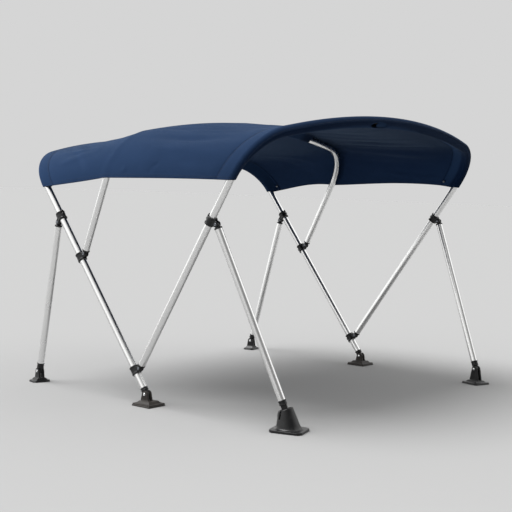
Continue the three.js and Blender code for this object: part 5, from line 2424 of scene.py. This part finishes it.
@dataclass
class Studs:
    """The bright studs near the pockets' lower seams: domed caps in rolled rims."""

    finishes: Finishes
    profile: tuple[tuple[float, float], ...] = (
        (0, 0), (4.2, 0), (4.5, 0.25), (4.5, 0.6), (4.1, 0.85), (3.6, 0.75), (3.3, 0.95),
        (3.0, 1.6), (2.2, 2.0), (1.1, 2.18), (0, 2.2),
    )

    def _place(self, node: str) -> Matrix:
        """The place of a stud, from its solid's points.

        Args:
            node: The solid's name.

        Returns:
            From the stud's millimetres to the frame's metres.
        """
        places = np.array([v.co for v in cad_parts[node].data.vertices], float)
        points = np.unique(np.round(places, 6), axis=0)
        centre = points.mean(axis=0)
        axis = np.linalg.svd(points - centre, full_matrices=False)[2][2]
        height = (points - centre) @ axis
        wide = np.linalg.norm((points - centre) - np.outer(height, axis), axis=1)
        if wide[height > 0].mean() > wide[height < 0].mean():
            axis, height = -axis, -height
        cross = unit(np.cross(axis, [0.0, 0.0, 1.0]))
        return placed(centre + axis * height.min(), axis, cross)

    def build(self) -> None:
        """Dresses the four studs in their solids' places."""
        for bow in ("left", "right"):
            for side in Side:
                label = f"{bow}_{side.label}"
                place = self._place(f"snap_{label}")
                piece = turned_piece(f"stud_{label}", self.profile, place, self.finishes.stud)
                finish_piece(piece, "stainless", f"snap_{label}")


@dataclass
class Studio:
    """The pale floor, the soft lights and the camera."""

    finishes: Finishes
    azimuth: float = 38.688
    pitch: float = 3.751
    roll: float = 1.875
    place: tuple[float, float, float] = (2.2944, -2.9209, 0.6624)
    lens: float = 79.14
    film: float = 36.0
    backdrop: float = 0.665
    air_dark: float = 0.25
    glows: tuple[tuple, ...] = (
        ((-0.95, -0.45, 0.4), -0.4, 0.85, 1.14),
        ((0.35, 0.68, 0.62), 0.66, 0.96, 1.15),
    )
    key_from: tuple[float, float, float] = (-0.34, -0.3, 1.0)
    key_power: float = 3.7
    key_spread: float = 40.0
    left_from: tuple[float, float, float] = (-1.7, -1.7, 0.3)
    left_to: tuple[float, float, float] = (-0.33, -0.57, 0.68)
    left_power: float = 190.0
    left_spread: float = 38.0
    left_blend: float = 0.7
    left_size: float = 0.45
    floor_half: float = 40.0

    def camera(self) -> None:
        """Makes the camera at the photograph's viewing angle."""
        azimuth, pitch, roll = (math.radians(a) for a in (self.azimuth, self.pitch, self.roll))
        level = math.cos(pitch)
        ahead = Vector((-math.sin(azimuth) * level, math.cos(azimuth) * level, -math.sin(pitch)))
        right = Vector((math.cos(azimuth), math.sin(azimuth), 0))
        up = right.cross(ahead)
        turned = right * math.cos(roll) + up * math.sin(roll)
        upright = up * math.cos(roll) - right * math.sin(roll)
        data = bpy.data.cameras.new("studio_camera")
        data.lens = self.lens
        data.sensor_width = self.film
        data.sensor_fit = "HORIZONTAL"
        basis = Matrix((turned, upright, -ahead)).transposed().to_4x4()
        bpy.context.scene.camera = put(data.name, data, Matrix.Translation(Vector(self.place)) @ basis)

    def _key_light(self) -> None:
        """A wide, even light from above."""
        data = bpy.data.lights.new("key_light", "SUN")
        data.energy = self.key_power
        data.angle = math.radians(self.key_spread)
        put(data.name, data, Vector(self.key_from).to_track_quat("Z", "Y").to_matrix().to_4x4())

    def _left_light(self) -> None:
        """A low soft lamp near the left front, which reaches the left bay most."""
        data = bpy.data.lights.new("left_light", "SPOT")
        data.energy = self.left_power
        data.spot_size = math.radians(self.left_spread)
        data.spot_blend = self.left_blend
        data.shadow_soft_size = self.left_size
        place = Vector(self.left_from)
        turned = (place - Vector(self.left_to)).to_track_quat("Z", "Y").to_matrix().to_4x4()
        put(data.name, data, Matrix.Translation(place) @ turned).visible_glossy = False

    def _air(self) -> None:
        """Soft light from all round, brightest at the left front and high behind, and a grey backdrop."""
        world = bpy.data.worlds.new("studio_air")
        bpy.context.scene.world = world
        world.use_nodes = True
        nodes, known = Nodes(world.node_tree), world.node_tree.nodes
        nodes.feed(known["Background"], "Color", colour(*[self.backdrop] * 3))
        place = nodes.node("ShaderNodeTexCoord").other("Generated")
        dot, glow = {"operation": "DOT_PRODUCT"}, self.air_dark
        for side, low, high, strength in self.glows:
            side = Vector(side).normalized()
            towards = nodes.node("ShaderNodeVectorMath", dot, Vector=place, Vector_001=side)
            glow = towards.between(low, high) * strength + glow
        lit = nodes.node("ShaderNodeBackground", Color=colour(1.0, 1.0, 0.995), Strength=glow)
        seen = Shade(nodes, known["Background"].outputs[0])
        eye = nodes.node("ShaderNodeLightPath").other("Is Camera Ray")
        mix = nodes.node("ShaderNodeMixShader", Fac=eye, Shader=lit, Shader_001=seen)
        nodes.feed(known["World Output"], "Surface", mix)

    def build(self) -> None:
        """Makes the floor and the lights."""
        corners = np.array([(-1, -1, 0), (1, -1, 0), (1, 1, 0), (-1, 1, 0)], float) * self.floor_half
        floor = new_piece("studio_floor_plane", corners, [[0, 1, 2, 3]], self.finishes.floor)
        self._key_light()
        self._left_light()
        self._air()
        view = bpy.context.scene.view_settings
        view.view_transform = "Standard"
        view.look = "None"


def main() -> None:
    """Builds the whole object in order."""
    logging.basicConfig(level=logging.INFO, format="%(name)s: %(message)s")
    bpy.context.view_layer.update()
    finishes = Finishes()
    studio = Studio(finishes)
    studio.camera()
    layout = Layout()
    shape = ClothShape(layout)
    TubeFrame(layout, finishes).build()
    Fittings(layout, finishes).build()
    canopy = Canopy(shape, finishes)
    canopy_piece = canopy.build()
    left = Pocket(shape, finishes, Bow.MAIN, "left_pocket_lining")
    right = Pocket(shape, finishes, Bow.END, "right_pocket_lining")
    left_piece = finish_piece(left.build(), "lining_cloth", "pocket_left")
    right_piece = right.build()
    trim_pieces = OvalOpening(shape, finishes).open(right_piece)
    finish_piece(right_piece, "lining_cloth", "pocket_right")
    for piece in trim_pieces:
        finish_piece(piece, "lining_cloth")
    sleeve = MiddleSleeve(shape, finishes)
    sleeve_piece = finish_piece(sleeve.build(), "lining_cloth", "middle_sleeve")
    stitches = Stitching(shape, finishes).build((left, right), sleeve)
    Studs(finishes).build()
    flat = canopy.grid.flat
    min(canopy.grid.area(), flat[0] * flat[1])
    studio.build()


if __name__ == "__main__":
    main()
